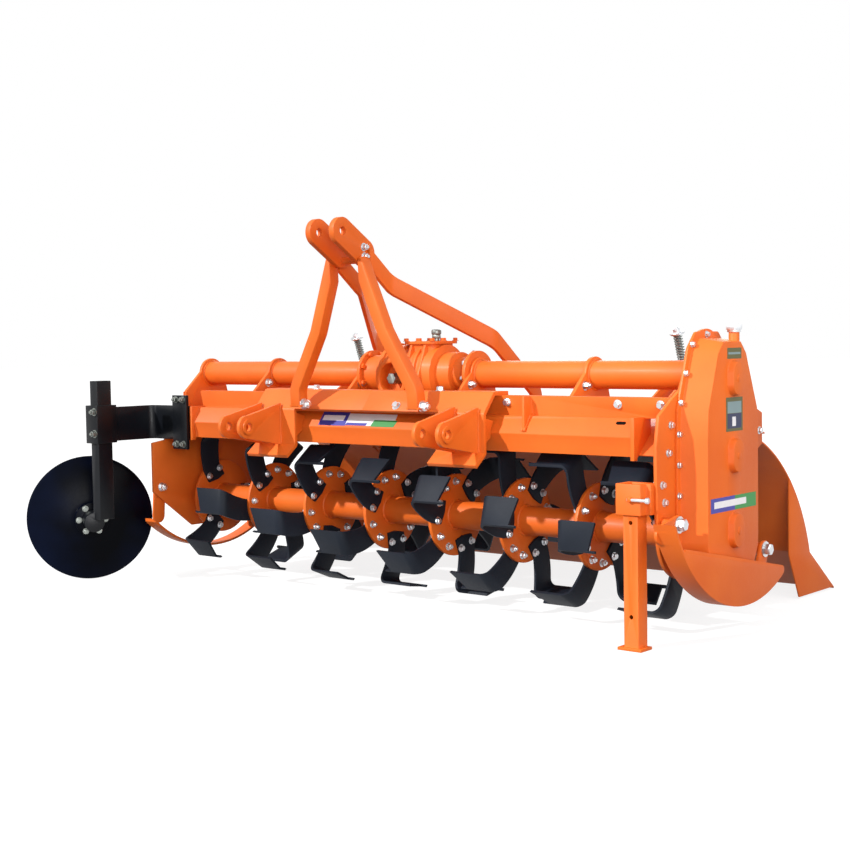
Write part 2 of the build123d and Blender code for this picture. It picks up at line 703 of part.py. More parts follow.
HUB_TOP = 75
DISH_T = 5
bore = SPINDLE_R + 0.1
with BuildPart() as furrow_disc:
    with BuildSketch(Plane.XZ):
        with BuildLine():
            ThreePointArc((DISC_R, 0), (HUB_R * 2, dish_z(HUB_R * 2)), (HUB_R, dish_z(HUB_R)))
            Polyline((HUB_R, dish_z(HUB_R)), (HUB_R, HUB_TOP), (bore, HUB_TOP),
                     (bore, dish_z(0) - DISH_T), (HUB_R, dish_z(HUB_R) - DISH_T))
            ThreePointArc((HUB_R, dish_z(HUB_R) - DISH_T), (HUB_R * 2, dish_z(HUB_R * 2) - DISH_T),
                          (DISC_R, -DISH_T))
            Line((DISC_R, -DISH_T), (DISC_R, 0))
        make_face()
    revolve(axis=Axis.Z)
save(furrow_disc.part.moved(disc_plane.location), "furrow_disc")

# ---------------------------------------------------------------- rear board
HINGE_ROD_R = 7
LUG_T = 10
LUGS_X = (-985, -500, 0, 490, 975)
hinge_reach = 1000
save(rod_along_x(*HINGE, HINGE_ROD_R, -hinge_reach, 2 * hinge_reach), "hinge_rod")
with BuildPart() as hinge_lugs:
    for x in LUGS_X:
        add(link((352, 552), HINGE, 28, x, LUG_T, holes=[(*HINGE, HINGE_ROD_R + 0.05)]))
    add(hood_skin, mode=Mode.SUBTRACT)
save(hinge_lugs.part, "hinge_lugs")

BOARD_TOP = (404, 523)
BOARD_MID = (612, 376)
BOARD_FOLD = (740, 140)
FLARE = (180, -138)
flare_drop = BOARD_T / 2 * FLARE[0] / math.hypot(*FLARE)
board_tip = (BOARD_FOLD[0] + FLARE[0] * (BOARD_FOLD[1] - flare_drop) / -FLARE[1], flare_drop)
KNUCKLE_END = (412, 517)
with BuildPart() as rear_board:
    with BuildSketch(Plane.YZ.offset(-BOARD_X)):
        with BuildLine():
            ThreePointArc(BOARD_TOP, BOARD_MID, BOARD_FOLD)
            Line(BOARD_FOLD, board_tip)
        trace(line_width=BOARD_T)
    extrude(amount=2 * BOARD_X)
    for x in (-BOARD_X, BOARD_X - BOARD_T):
        with BuildSketch(Plane.YZ.offset(x)):
            with BuildLine():
                ThreePointArc((598, 388), (688, 268), BOARD_FOLD)
                Polyline(BOARD_FOLD, (board_tip[0] - 6, 6), (668, 6), (598, 150), (598, 388))
            make_face()
        extrude(amount=BOARD_T)
    for start, end in zip(LUGS_X, LUGS_X[1:]):
        for x in (start + LUG_T + 2, end - 62):
            add(link(HINGE, KNUCKLE_END, 24, x, 60, holes=[(*HINGE, HINGE_ROD_R + 0.1)]))
    for side in (-1, 1):
        for x in (side * ROD_X - 20, side * ROD_X + 10):
            add(upright([(542, 432), (602, 386), (610, 447), (592, 465), (574, 460)], x, 10))
            add(rod_along_x(*ROD_LUG, 18, x, 10))
        add(rod_along_x(*ROD_LUG, ROD_R, side * ROD_X - 15, 30))
save(rear_board.part, "rear_board")

# ---------------------------------------------------------------- spring rods
rod_length = math.dist(ROD_LUG, ROD_TOP)
rod_dir = Vector(0, ROD_TOP[0] - ROD_LUG[0], ROD_TOP[1] - ROD_LUG[1]).normalized()
guide_at = rod_length * (GUIDE_Z - ROD_LUG[1]) / (ROD_TOP[1] - ROD_LUG[1])
GUIDE_T = 10
CHEEK = [(262, 605), (262, 570), (345, 545), (534, 684), (530, 712), (452, 712)]
for name, side in (("left", -1), ("right", 1)):
    lug_plane = Plane(origin=(side * ROD_X, *ROD_LUG), x_dir=(1, 0, 0), z_dir=rod_dir)
    with BuildPart() as bracket:
        for x in (side * ROD_X - 34, side * ROD_X + 26):
            add(upright(CHEEK, x, 8, corner=6))
        with BuildSketch(lug_plane.offset(guide_at - GUIDE_T)):
            Rectangle(56, 72)
            SlotCenterToCenter(22, 22, rotation=90, mode=Mode.SUBTRACT)
        extrude(amount=GUIDE_T)
        split(bisect_by=deck, keep=Keep.TOP)
    save(bracket.part, f"spring_bracket_{name}")

    with BuildPart() as spring_rod:
        with BuildSketch(Plane.YZ.offset(side * ROD_X - 9)):
            with Locations(ROD_LUG):
                Circle(17)
                Circle(ROD_R + 0.1, mode=Mode.SUBTRACT)
        extrude(amount=18)
        with BuildSketch(lug_plane.offset(13)):
            Circle(ROD_R)
        extrude(amount=rod_length - 13)
        with BuildSketch(lug_plane.offset(rod_length - 22)):
            Circle(24)
        extrude(amount=6)
        with BuildSketch(lug_plane.offset(rod_length - 16)):
            RegularPolygon(14, 6)
        extrude(amount=12)
    save(spring_rod.part, f"spring_rod_{name}")

    with BuildPart() as spring:
        with BuildSketch(lug_plane.offset(guide_at + 0.5)):
            Circle(15)
            Circle(ROD_R, mode=Mode.SUBTRACT)
        extrude(amount=rod_length - 22 - guide_at - 0.5)
    save(spring.part, f"spring_{name}")
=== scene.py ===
"""Rotary tiller for a three-point hitch: finishes, fasteners, welds and small parts round its solids.

Places are given as in the machine's drawing, in millimetres: X from the middle of the rotor, Y from the
rotor's axis towards the rear, and Z up from the floor. spot() turns them into the frame's metres.
"""

import logging
import math
from dataclasses import dataclass, field
from enum import Enum
from functools import cache, partial
from typing import Iterable, NamedTuple, Optional, Sequence, Union

import bmesh
import bpy
from bmesh.types import BMesh
from bpy.types import Light, Material, Mesh, Node, NodeSocket, NodeTree, Object
from mathutils import Matrix, Vector


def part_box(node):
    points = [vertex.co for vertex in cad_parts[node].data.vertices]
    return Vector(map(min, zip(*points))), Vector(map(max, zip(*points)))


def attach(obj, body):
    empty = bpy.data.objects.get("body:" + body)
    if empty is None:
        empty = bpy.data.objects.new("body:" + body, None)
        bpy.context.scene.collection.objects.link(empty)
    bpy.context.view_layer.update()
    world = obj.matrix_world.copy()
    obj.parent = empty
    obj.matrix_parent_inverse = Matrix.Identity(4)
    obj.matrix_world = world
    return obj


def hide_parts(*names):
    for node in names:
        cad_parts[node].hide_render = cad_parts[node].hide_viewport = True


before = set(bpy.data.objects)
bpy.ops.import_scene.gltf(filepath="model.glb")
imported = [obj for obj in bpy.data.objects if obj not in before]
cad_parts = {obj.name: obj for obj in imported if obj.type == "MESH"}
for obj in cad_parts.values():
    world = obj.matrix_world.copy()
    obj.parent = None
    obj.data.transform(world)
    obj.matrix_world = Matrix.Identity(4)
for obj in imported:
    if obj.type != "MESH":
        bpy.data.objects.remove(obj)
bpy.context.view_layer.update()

MM = 0.001
LOG = logging.getLogger("tiller")
Point = tuple[float, float, float]
Flat = tuple[float, float]
Colour = tuple[float, float, float, float]
Inputs = dict[Union[str, int], object]

# Ways that a fastener or a face can point.
RIGHT, LEFT, FRONT, UP = (1, 0, 0), (-1, 0, 0), (0, -1, 0), (0, 0, 1)

# Main dimensions of the machine, in the drawing's mm.
ROTOR_Z = 283
RINGS = 8
RING_PITCH = 275
FLANGE_RADIUS = 131.0
FLANGE_HALF = 6.0
TUBE_Z = 732
SIDE_FACE = 1045
SIDE_T = 10
CASE_FACE = 1130
HITCH_X = -30
SADDLES = (-1014, -660, -222, 242, 668)
SADDLE_T = 12
BEAM_ENDS = (-873, 932)
ROD_X = 690
DISC_CENTRE = (-1250, -380, 222)
DISC_YAW = 58

# The beam's upper slope: (y, z) at its foot and its top, and its outward direction.
SLOPE_FOOT = (-207, 566)
SLOPE_TOP = (-180, 617)
SLOPE_OUT = (0, -51, 27)


def drawing_origin() -> Vector:
    """The drawing's origin in the frame: midway between the side plates, under the rotor's axis.

    Returns:
        The point, in metres.
    """
    left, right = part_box("side_plate_left")[0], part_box("side_plate_right")[1]
    low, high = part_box("rotor_shaft")
    return Vector(((left.x + right.x) / 2, (low.y + high.y) / 2, 0))


ORIGIN = drawing_origin()


def spot(x: float, y: float, z: float) -> Vector:
    """A place in the frame, in metres.

    Args:
        x: Millimetres from the rotor's middle, towards the machine's right.
        y: Millimetres behind the rotor's axis.
        z: Millimetres above the floor.

    Returns:
        The point in the frame.
    """
    return ORIGIN + Vector((x, y, z)) * MM


# ---- nodes


def add_node(tree: NodeTree, kind: str, inputs: Optional[Inputs] = None, **settings: object) -> Node:
    """Adds one node with its settings, values and links.

    Args:
        tree: The tree that takes the node.
        kind: The node's Blender type.
        inputs: Value or output socket for each input, by its name or number.
        settings: Properties of the node itself.

    Returns:
        The new node.
    """
    made = tree.nodes.new(kind)
    for name, value in settings.items():
        setattr(made, name, value)
    for name, value in (inputs or {}).items():
        socket = made.inputs[name]
        if isinstance(value, NodeSocket):
            tree.links.new(value, socket)
        else:
            socket.default_value = value
    return made


def linear(colour: str) -> Colour:
    """Turns an sRGB hex colour such as 'f06010' into linear red, green and blue, and alpha 1.

    Args:
        colour: Six hex digits.

    Returns:
        Red, green, blue and alpha.
    """
    parts = [int(colour[i:i + 2], 16) / 255 for i in (0, 2, 4)]
    steps = [c / 12.92 if c <= 0.04045 else ((c + 0.055) / 1.055) ** 2.4 for c in parts]
    return (*steps, 1.0)


# ---- finishes


@dataclass(frozen=True)
class Enamel:
    """Alkyd enamel sprayed on primed steel.

    It gives the eye a deep even colour under a clear gloss, with the faint ripple called orange peel,
    a film that is a little thinner and lighter in broad patches, and no grain. On the furrow disc the
    broad patches are instead a painted bluish reflection of the floor.

    Args:
        name: The material's name.
        colour: The film's colour.
        patch: Its colour where the film is thin; on the furrow disc, the colour of the painted bluish
            reflection.
        roughness: Roughness of the coloured layer.
        coat: Weight of the clear gloss.
        specular: Strength of the film's own mirror reflection.
        peel_mm: Spacing of the ripple, drawn coarser than the real 1 to 2 mm so that it shows.
        patch_mm: Spacing of the broad patches.
    """

    name: str
    colour: str
    patch: str
    roughness: float = 0.56
    coat: float = 0.04
    specular: float = 0.4
    peel_mm: float = 7.0
    patch_mm: float = 220.0

    def build(self) -> Material:
        """Makes the material.

        Returns:
            The material, ready for a piece.
        """
        material, tree, shader = blank_material(self.name)
        place = add_node(tree, "ShaderNodeTexCoord").outputs["Object"]
        broad = add_node(tree, "ShaderNodeTexNoise",
                         {"Vector": place, "Scale": 1 / (self.patch_mm * MM), "Detail": 3.0})
        span = add_node(tree, "ShaderNodeMapRange",
                        {"Value": broad.outputs["Fac"], "From Min": 0.35, "From Max": 0.7})
        tint = add_node(tree, "ShaderNodeMix",
                        {"Factor": span.outputs["Result"], 6: linear(self.colour), 7: linear(self.patch)},
                        data_type="RGBA")
        peel = add_node(tree, "ShaderNodeTexNoise",
                        {"Vector": place, "Scale": 1 / (self.peel_mm * MM), "Detail": 1.0})
        gloss = add_node(tree, "ShaderNodeMapRange",
                         {"Value": peel.outputs["Fac"], "To Min": self.roughness - 0.05,
                          "To Max": self.roughness + 0.07})
        bump = add_node(tree, "ShaderNodeBump",
                        {"Height": peel.outputs["Fac"], "Strength": 0.18, "Distance": 0.0006})
        tree.links.new(tint.outputs[2], shader.inputs["Base Color"])
        tree.links.new(gloss.outputs["Result"], shader.inputs["Roughness"])
        tree.links.new(bump.outputs["Normal"], shader.inputs["Normal"])
        shader.inputs["Specular IOR Level"].default_value = self.specular
        shader.inputs["Coat Weight"].default_value = self.coat
        shader.inputs["Coat Roughness"].default_value = 0.25
        return material


@dataclass(frozen=True)
class PlatedSteel:
    """Steel with a bright electroplated zinc skin, or bare turned steel.

    It gives the eye a pale metal with soft cloudy gloss and short scratches.

    Args:
        name: The material's name.
        colour: The metal's colour.
        roughness: Middle roughness.
        cloud_mm: Spacing of the cloudiness.
    """

    name: str
    colour: str
    roughness: float = 0.34
    cloud_mm: float = 9.0

    def build(self) -> Material:
        """Makes the material.

        Returns:
            The material, ready for a piece.
        """
        material, tree, shader = blank_material(self.name)
        place = add_node(tree, "ShaderNodeTexCoord").outputs["Object"]
        cloud = add_node(tree, "ShaderNodeTexNoise",
                         {"Vector": place, "Scale": 1 / (self.cloud_mm * MM), "Detail": 4.0})
        gloss = add_node(tree, "ShaderNodeMapRange",
                         {"Value": cloud.outputs["Fac"], "To Min": self.roughness - 0.1,
                          "To Max": self.roughness + 0.14})
        bright = linear(self.colour)
        shade = add_node(tree, "ShaderNodeMix",
                         {"Factor": cloud.outputs["Fac"], 6: bright,
                          7: tuple(0.72 * c for c in bright[:3]) + (1.0,)},
                         data_type="RGBA")
        tree.links.new(shade.outputs[2], shader.inputs["Base Color"])
        tree.links.new(gloss.outputs["Result"], shader.inputs["Roughness"])
        shader.inputs["Metallic"].default_value = 1.0
        return material


@dataclass(frozen=True)
class Film:
    """Printed vinyl film, as labels and stripes are made of.

    It gives the eye a flat even print with a soft sheen and slight fading in patches. Its dark matt
    kind, hollow_shade, is no print but painted shade for the beam's drain slot.

    Args:
        name: The material's name.
        colour: The print's colour.
        roughness: Its roughness.
        specular: Strength of its mirror reflection.
        fade_mm: Spacing of the faded patches.
    """

    name: str
    colour: str
    roughness: float = 0.45
    specular: float = 0.5
    fade_mm: float = 25.0

    def build(self) -> Material:
        """Makes the material.

        Returns:
            The material, ready for a piece.
        """
        material, tree, shader = blank_material(self.name)
        place = add_node(tree, "ShaderNodeTexCoord").outputs["Object"]
        fade = add_node(tree, "ShaderNodeTexNoise",
                        {"Vector": place, "Scale": 1 / (self.fade_mm * MM), "Detail": 2.0})
        fresh = linear(self.colour)
        shade = add_node(tree, "ShaderNodeMix",
                         {"Factor": fade.outputs["Fac"], 6: fresh,
                          7: tuple(0.86 * c + 0.012 for c in fresh[:3]) + (1.0,)},
                         data_type="RGBA")
        tree.links.new(shade.outputs[2], shader.inputs["Base Color"])
        shader.inputs["Roughness"].default_value = self.roughness
        shader.inputs["Specular IOR Level"].default_value = self.specular
        return material


def blank_material(name: str) -> tuple[Material, NodeTree, Node]:
    """Makes a material that holds one Principled shader.

    Args:
        name: The material's name.

    Returns:
        The material, its tree and its shader.
    """
    material = bpy.data.materials.new(name)
    material.use_nodes = True
    tree = material.node_tree
    tree.nodes.clear()
    shader = add_node(tree, "ShaderNodeBsdfPrincipled")
    add_node(tree, "ShaderNodeOutputMaterial", {"Surface": shader.outputs["BSDF"]})
    return material, tree, shader


class Finish(Enum):
    """The finishes on the machine; each value is the recipe."""

    ORANGE = Enamel("orange_enamel", "d85f14", "e26b1c")
    BLADE = Enamel("blade_lacquer", "0f151e", "171d28", roughness=0.58, coat=0.0,
                   specular=0.2, peel_mm=5.0)
    BLACK = Enamel("black_enamel", "05070b", "0b0e14", roughness=0.34, coat=0.05, specular=0.2)
    # Painted reflection: the disc's bluish broad patches stand in for the floor reflected in the glossy
    # black.
    DISC = Enamel("blue_black_enamel", "010206", "0e1730", roughness=0.3, coat=0.0, specular=0.05,
                  patch_mm=330.0)
    ZINC = PlatedSteel("zinc_plate", "dfe1e4")
    SPRING = PlatedSteel("oiled_steel", "8b8f8a", roughness=0.42)
    WHITE_PRINT = Film("white_print", "f2eef0")
    VIOLET_PRINT = Film("violet_print", "38389c")
    GREEN_PRINT = Film("green_print", "2f8a3e")
    GREY_PRINT = Film("grey_print", "7f9496")
    NAVY_PRINT = Film("navy_print", "141b46")
    OLIVE_PRINT = Film("olive_print", "55521c")
    # Painted shade: a dark matt film standing in for the shadowed hollow of the beam's drain slot.
    SHADE = Film("hollow_shade", "0c0503", roughness=0.95, specular=0.0)


@cache
def paint(finish: Finish) -> Material:
    """The material of a finish, made once."""
    return finish.value.build()


# ---- meshes


def show(made: Object) -> None:
    """Puts an object in the scene."""
    bpy.context.scene.collection.objects.link(made)


# How near two points are one, in metres; how flat an edge vanishes and how sharp it is rounded, in degrees.
SAME_POINT = 0.00002
SAME_PLANE = 0.4
SHARP_EDGE = 32


def settle(name: str, mesh: Mesh, body: str, finish: Finish, stands_for: Sequence[str] = (),
           smooth: float = 35.0) -> Object:
    """Makes a finished piece from a mesh that is already in place.

    Args:
        name: The piece's name.
        mesh: Its mesh, in the frame's metres.
        body: The CAD body that carries it.
        finish: Its finish.
        stands_for: CAD nodes that it replaces.
        smooth: Edges flatter than this angle, in degrees, are shaded smooth.

    Returns:
        The piece.
    """
    mesh.name = name
    mesh.materials.clear()
    mesh.materials.append(paint(finish))
    mesh.shade_smooth()
    mesh.set_sharp_from_angle(angle=math.radians(smooth))
    piece = bpy.data.objects.new(name, mesh)
    show(piece)
    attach(piece, body)
    if stands_for:
        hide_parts(*stands_for)
    LOG.info("%s: %d faces on %s", name, len(mesh.polygons), body)
    return piece


def mesh_of(bm: BMesh, name: str) -> Mesh:
    """Turns a bmesh into a mesh and frees it.

    Args:
        bm: The bmesh; it is used up.
        name: The mesh's name.

    Returns:
        The mesh.
    """
    mesh = bpy.data.meshes.new(name)
    bm.to_mesh(mesh)
    bm.free()
    return mesh


def evaluated(holder: Object, name: str) -> Mesh:
    """Applies an object's modifiers into a plain mesh and removes the object.

    Args:
        holder: The object with its modifiers.
        name: The new mesh's name.

    Returns:
        The resulting mesh.
    """
    show(holder)
    bpy.context.view_layer.update()
    graph = bpy.context.evaluated_depsgraph_get()
    mesh = bpy.data.meshes.new_from_object(holder.evaluated_get(graph))
    mesh.name = name
    holder.modifiers.clear()
    bpy.data.objects.remove(holder)
    return mesh


def whole_copy(node: str) -> BMesh:
    """A merged copy of a CAD node's loose triangles, with flat faces joined up again.

    Args:
        node: The node's name.

    Returns:
        The copy.
    """
    bm = bmesh.new()
    bm.from_mesh(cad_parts[node].data)
    bmesh.ops.remove_doubles(bm, verts=bm.verts, dist=SAME_POINT)
    bmesh.ops.dissolve_degenerate(bm, dist=SAME_POINT, edges=bm.edges)
    bmesh.ops.dissolve_limit(bm, angle_limit=math.radians(SAME_PLANE), verts=bm.verts, edges=bm.edges)
    return bm


def rounded(mesh: Mesh, width_mm: float, segments: int = 2) -> Mesh:
    """Rounds the sharp edges of a mesh as a grinder or a casting radius leaves them.

    Args:
        mesh: The mesh to round; it is used up.
        width_mm: Width of the rounding.
        segments: Faces across it.

    Returns:
        The rounded mesh.
    """
    holder = bpy.data.objects.new("edge_holder", mesh)
    bevel = holder.modifiers.new("edges", "BEVEL")
    bevel.width = width_mm * MM
    bevel.segments = segments
    bevel.limit_method = "ANGLE"
    bevel.angle_limit = math.radians(SHARP_EDGE)
    bevel.use_clamp_overlap = True
    bevel.miter_outer = "MITER_ARC"
    return evaluated(holder, mesh.name)


# ---- studio


@dataclass(frozen=True)
class Panel:
    """A square lamp aimed at the machine: its place and side in metres, and its power in watts."""

    name: str
    place: Point
    side: float
    watts: float


@dataclass(frozen=True)
class Studio:
    """Camera, lamps and floor, which are not part of the machine."""

    azimuth: float = 39.969
    elevation: float = 3.242
    distance: float = 4.805
    roll: float = -0.907
    lens: float = 62.974
    shift: Flat = (-0.006515, -0.0032)
    target: Point = (39.0, 0.0, 576.0)
    horizon: float = 0.18
    zenith: float = 0.74
    sun_azimuth: float = -24.0
    sun_elevation: float = 36.0
    sun_power: float = 3.7
    panels: tuple[Panel, ...] = (
        Panel("right_panel", (4.2, -1.2, 2.4), 2.6, 70),
        Panel("front_panel", (4.4, -4.4, 1.3), 2.6, 170),
        Panel("rear_panel", (-2.6, 4.8, 3.0), 3.0, 170),
    )
    floor_side: float = 40.0
    floor_glow: float = 0.84
    floor_bounce: str = "3c3c3c"
    floor_seen: str = "858585"

    def camera(self) -> None:
        """Makes the camera and takes it as the scene's."""
        back = heading(self.azimuth, self.elevation)
        right = (-back).cross(Vector((0, 0, 1))).normalized()
        level = Matrix((right, back.cross(right), back)).transposed()
        lens = bpy.data.cameras.new("camera")
        lens.lens = self.lens
        lens.shift_x, lens.shift_y = self.shift
        made = bpy.data.objects.new("camera", lens)
        rolled = level.to_4x4() @ Matrix.Rotation(math.radians(self.roll), 4, "Z")
        made.matrix_world = Matrix.Translation(spot(*self.target) + back * self.distance) @ rolled
        show(made)
        bpy.context.scene.camera = made

    def sun(self) -> None:
        """A clear sun from the front, round to the machine's left."""
        data = bpy.data.lights.new("sun", "SUN")
        data.energy = self.sun_power
        data.angle = math.radians(1.5)
        self.aim(data, heading(self.sun_azimuth, self.sun_elevation) * 6)

    def hang(self, panel: Panel) -> None:
        """Hangs one square lamp.

        Args:
            panel: Its name, place, side and power.
        """
        data = bpy.data.lights.new(panel.name, "AREA")
        data.size = panel.side
        data.energy = panel.watts
        self.aim(data, Vector(panel.place))

    def aim(self, data: Light, place: Vector) -> None:
        """Hangs a lamp at a place in metres, pointed at the middle of the machine.

        Args:
            data: The lamp's kind, power and size.
            place: Where it hangs.
        """
        made = bpy.data.objects.new(data.name, data)
        made.location = place
        made.rotation_mode = "QUATERNION"
        made.rotation_quaternion = (place - Vector((0, 0, 0.5))).to_track_quat("Z", "Y")
        show(made)

    def world(self) -> None:
        """A surround that is white to the lens, gloss and glass, and lights mostly from above."""
        world = bpy.data.worlds.new("studio")
        bpy.context.scene.world = world
        world.use_nodes = True
        tree = world.node_tree
        tree.nodes.clear()
        way = add_node(tree, "ShaderNodeTexCoord").outputs["Generated"]
        height = add_node(tree, "ShaderNodeSeparateXYZ", {0: way}).outputs["Z"]
        dome = add_node(tree, "ShaderNodeMapRange",
                        {"Value": height, "From Max": 0.7, "To Min": self.horizon, "To Max": self.zenith})
        strength = add_node(tree, "ShaderNodeMapRange",
                            {"Value": seen_directly(tree), "To Min": dome.outputs["Result"], "To Max": 1.0})
        shell = add_node(tree, "ShaderNodeBackground", {"Color": (1, 1, 1, 1),
                                                        "Strength": strength.outputs["Result"]})
        add_node(tree, "ShaderNodeOutputWorld", {"Surface": shell.outputs["Background"]})

    def floor(self) -> None:
        """A wide floor, white to the lens apart from the machine's faint shadow."""
        bm = bmesh.new()
        bmesh.ops.create_grid(bm, x_segments=8, y_segments=8, size=self.floor_side)
        mesh = mesh_of(bm, "studio_floor")
        material, tree, shader = blank_material("studio_floor")
        seen = seen_directly(tree)
        shade = add_node(tree, "ShaderNodeMix",
                         {"Factor": seen, 6: linear(self.floor_bounce), 7: linear(self.floor_seen)},
                         data_type="RGBA")
        glow = add_node(tree, "ShaderNodeMapRange",
                        {"Value": seen, "To Min": 0.0, "To Max": self.floor_glow})
        tree.links.new(shade.outputs[2], shader.inputs["Base Color"])
        tree.links.new(glow.outputs["Result"], shader.inputs["Emission Strength"])
        shader.inputs["Emission Color"].default_value = (1, 1, 1, 1)
        shader.inputs["Roughness"].default_value = 1.0
        shader.inputs["Specular IOR Level"].default_value = 0.0
        mesh.materials.append(material)
        floor = bpy.data.objects.new("studio_floor", mesh)
        floor.location = (0, 0, -0.0005)
        show(floor)

    def build(self) -> None:
        """Sets up everything around the machine."""
        bpy.context.scene.view_settings.view_transform = "Standard"
        self.camera()
        self.world()
        self.floor()
        self.sun()
        for panel in self.panels:
            self.hang(panel)


def heading(azimuth: float, elevation: float) -> Vector:
    """A unit vector out from the machine.

    Args:
        azimuth: Degrees from the machine's front towards its right.
        elevation: Degrees above the floor.

    Returns:
        The vector.
    """
    turn, rise = math.radians(azimuth), math.radians(elevation)
    return Vector((math.sin(turn) * math.cos(rise), -math.cos(turn) * math.cos(rise), math.sin(rise)))


def seen_directly(tree: NodeTree) -> NodeSocket:
    """A value that is 1 for what the lens, gloss and glass see, and 0 for other light.

    Args:
        tree: Takes the nodes.

    Returns:
        The value.
    """
    path = add_node(tree, "ShaderNodeLightPath")
    gloss = add_node(tree, "ShaderNodeMath", {0: path.outputs["Is Glossy Ray"],
                                              1: path.outputs["Is Transmission Ray"]}, operation="MAXIMUM")
    seen = add_node(tree, "ShaderNodeMath", {0: path.outputs["Is Camera Ray"], 1: gloss.outputs[0]},
                    operation="MAXIMUM")
    return seen.outputs[0]


# ---- bodies of plate and casting


# Nodes by body and finish, each with the width of its rounded edges in mm.
DRESSED = {
    ("frame", Finish.ORANGE): {
        "hood_shell": 1.0, "front_beam": 1.6, "main_tube_left": 1.0, "main_tube_right": 1.0,
        "tube_saddles": 1.4, "side_plate_left": 1.4, "side_plate_right": 1.4, "rotor_bearing": 3.0,
        "gear_case": 5.0, "gearbox": 3.0, "pto_guard": 2.0, "hitch_clamp_left": 1.4,
        "hitch_clamp_right": 1.4, "mast_head": 1.6, "mast_leg_left": 3.0, "mast_leg_right": 3.0,
        "mast_stay_left": 1.6, "mast_stay_right": 1.6, "skid_left": 1.4, "skid_right": 1.4,
        "stand_socket": 1.6, "hinge_lugs": 1.2, "spring_bracket_left": 1.2, "spring_bracket_right": 1.2},
    ("frame", Finish.ZINC): {"filler_cap": 1.2, "hinge_rod": 1.0},
    ("frame", Finish.BLACK): {"disc_arm": 1.6, "disc_standard": 2.0},
    ("rotor", Finish.ORANGE): {"rotor_shaft": 1.6},
    ("pto", Finish.SPRING): {"pto_shaft": 0.8},
    ("disc", Finish.DISC): {"furrow_disc": 1.0},
    ("stand", Finish.ORANGE): {"stand_leg": 2.0},
    ("board", Finish.ORANGE): {"rear_board": 1.2},
    ("rod_left", Finish.ZINC): {"spring_rod_left": 0.8},
    ("rod_right", Finish.ZINC): {"spring_rod_right": 0.8},
}

# What counts as the shaft's stub ends, and how far they are drawn in, in mm.
STUB_RADIUS = 26.0
STUB_EASE = 0.3


def dress_solids() -> None:
    """Stands a copy with rounded edges and its finish in for each solid."""
    for (body, finish), nodes in DRESSED.items():
        for node, width in nodes.items():
            bm = whole_copy(node)
            if node == "rotor_shaft":
                ease_stubs(bm)
            mesh = rounded(mesh_of(bm, node + "_dressed"), width)
            settle(node + "_dressed", mesh, body, finish, stands_for=[node])


def ease_stubs(bm: BMesh) -> None:
    """Draws the shaft's stub ends in by a hair, so that their facets turn freely in the bearings.

    Args:
        bm: The shaft's copy.
    """
    middle = sum(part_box("rotor_shaft"), Vector()) / 2
    for vertex in bm.verts:
        out = Vector((0, vertex.co.y - middle.y, vertex.co.z - middle.z))
        if out.length < STUB_RADIUS * MM:
            vertex.co -= out.normalized() * STUB_EASE * MM


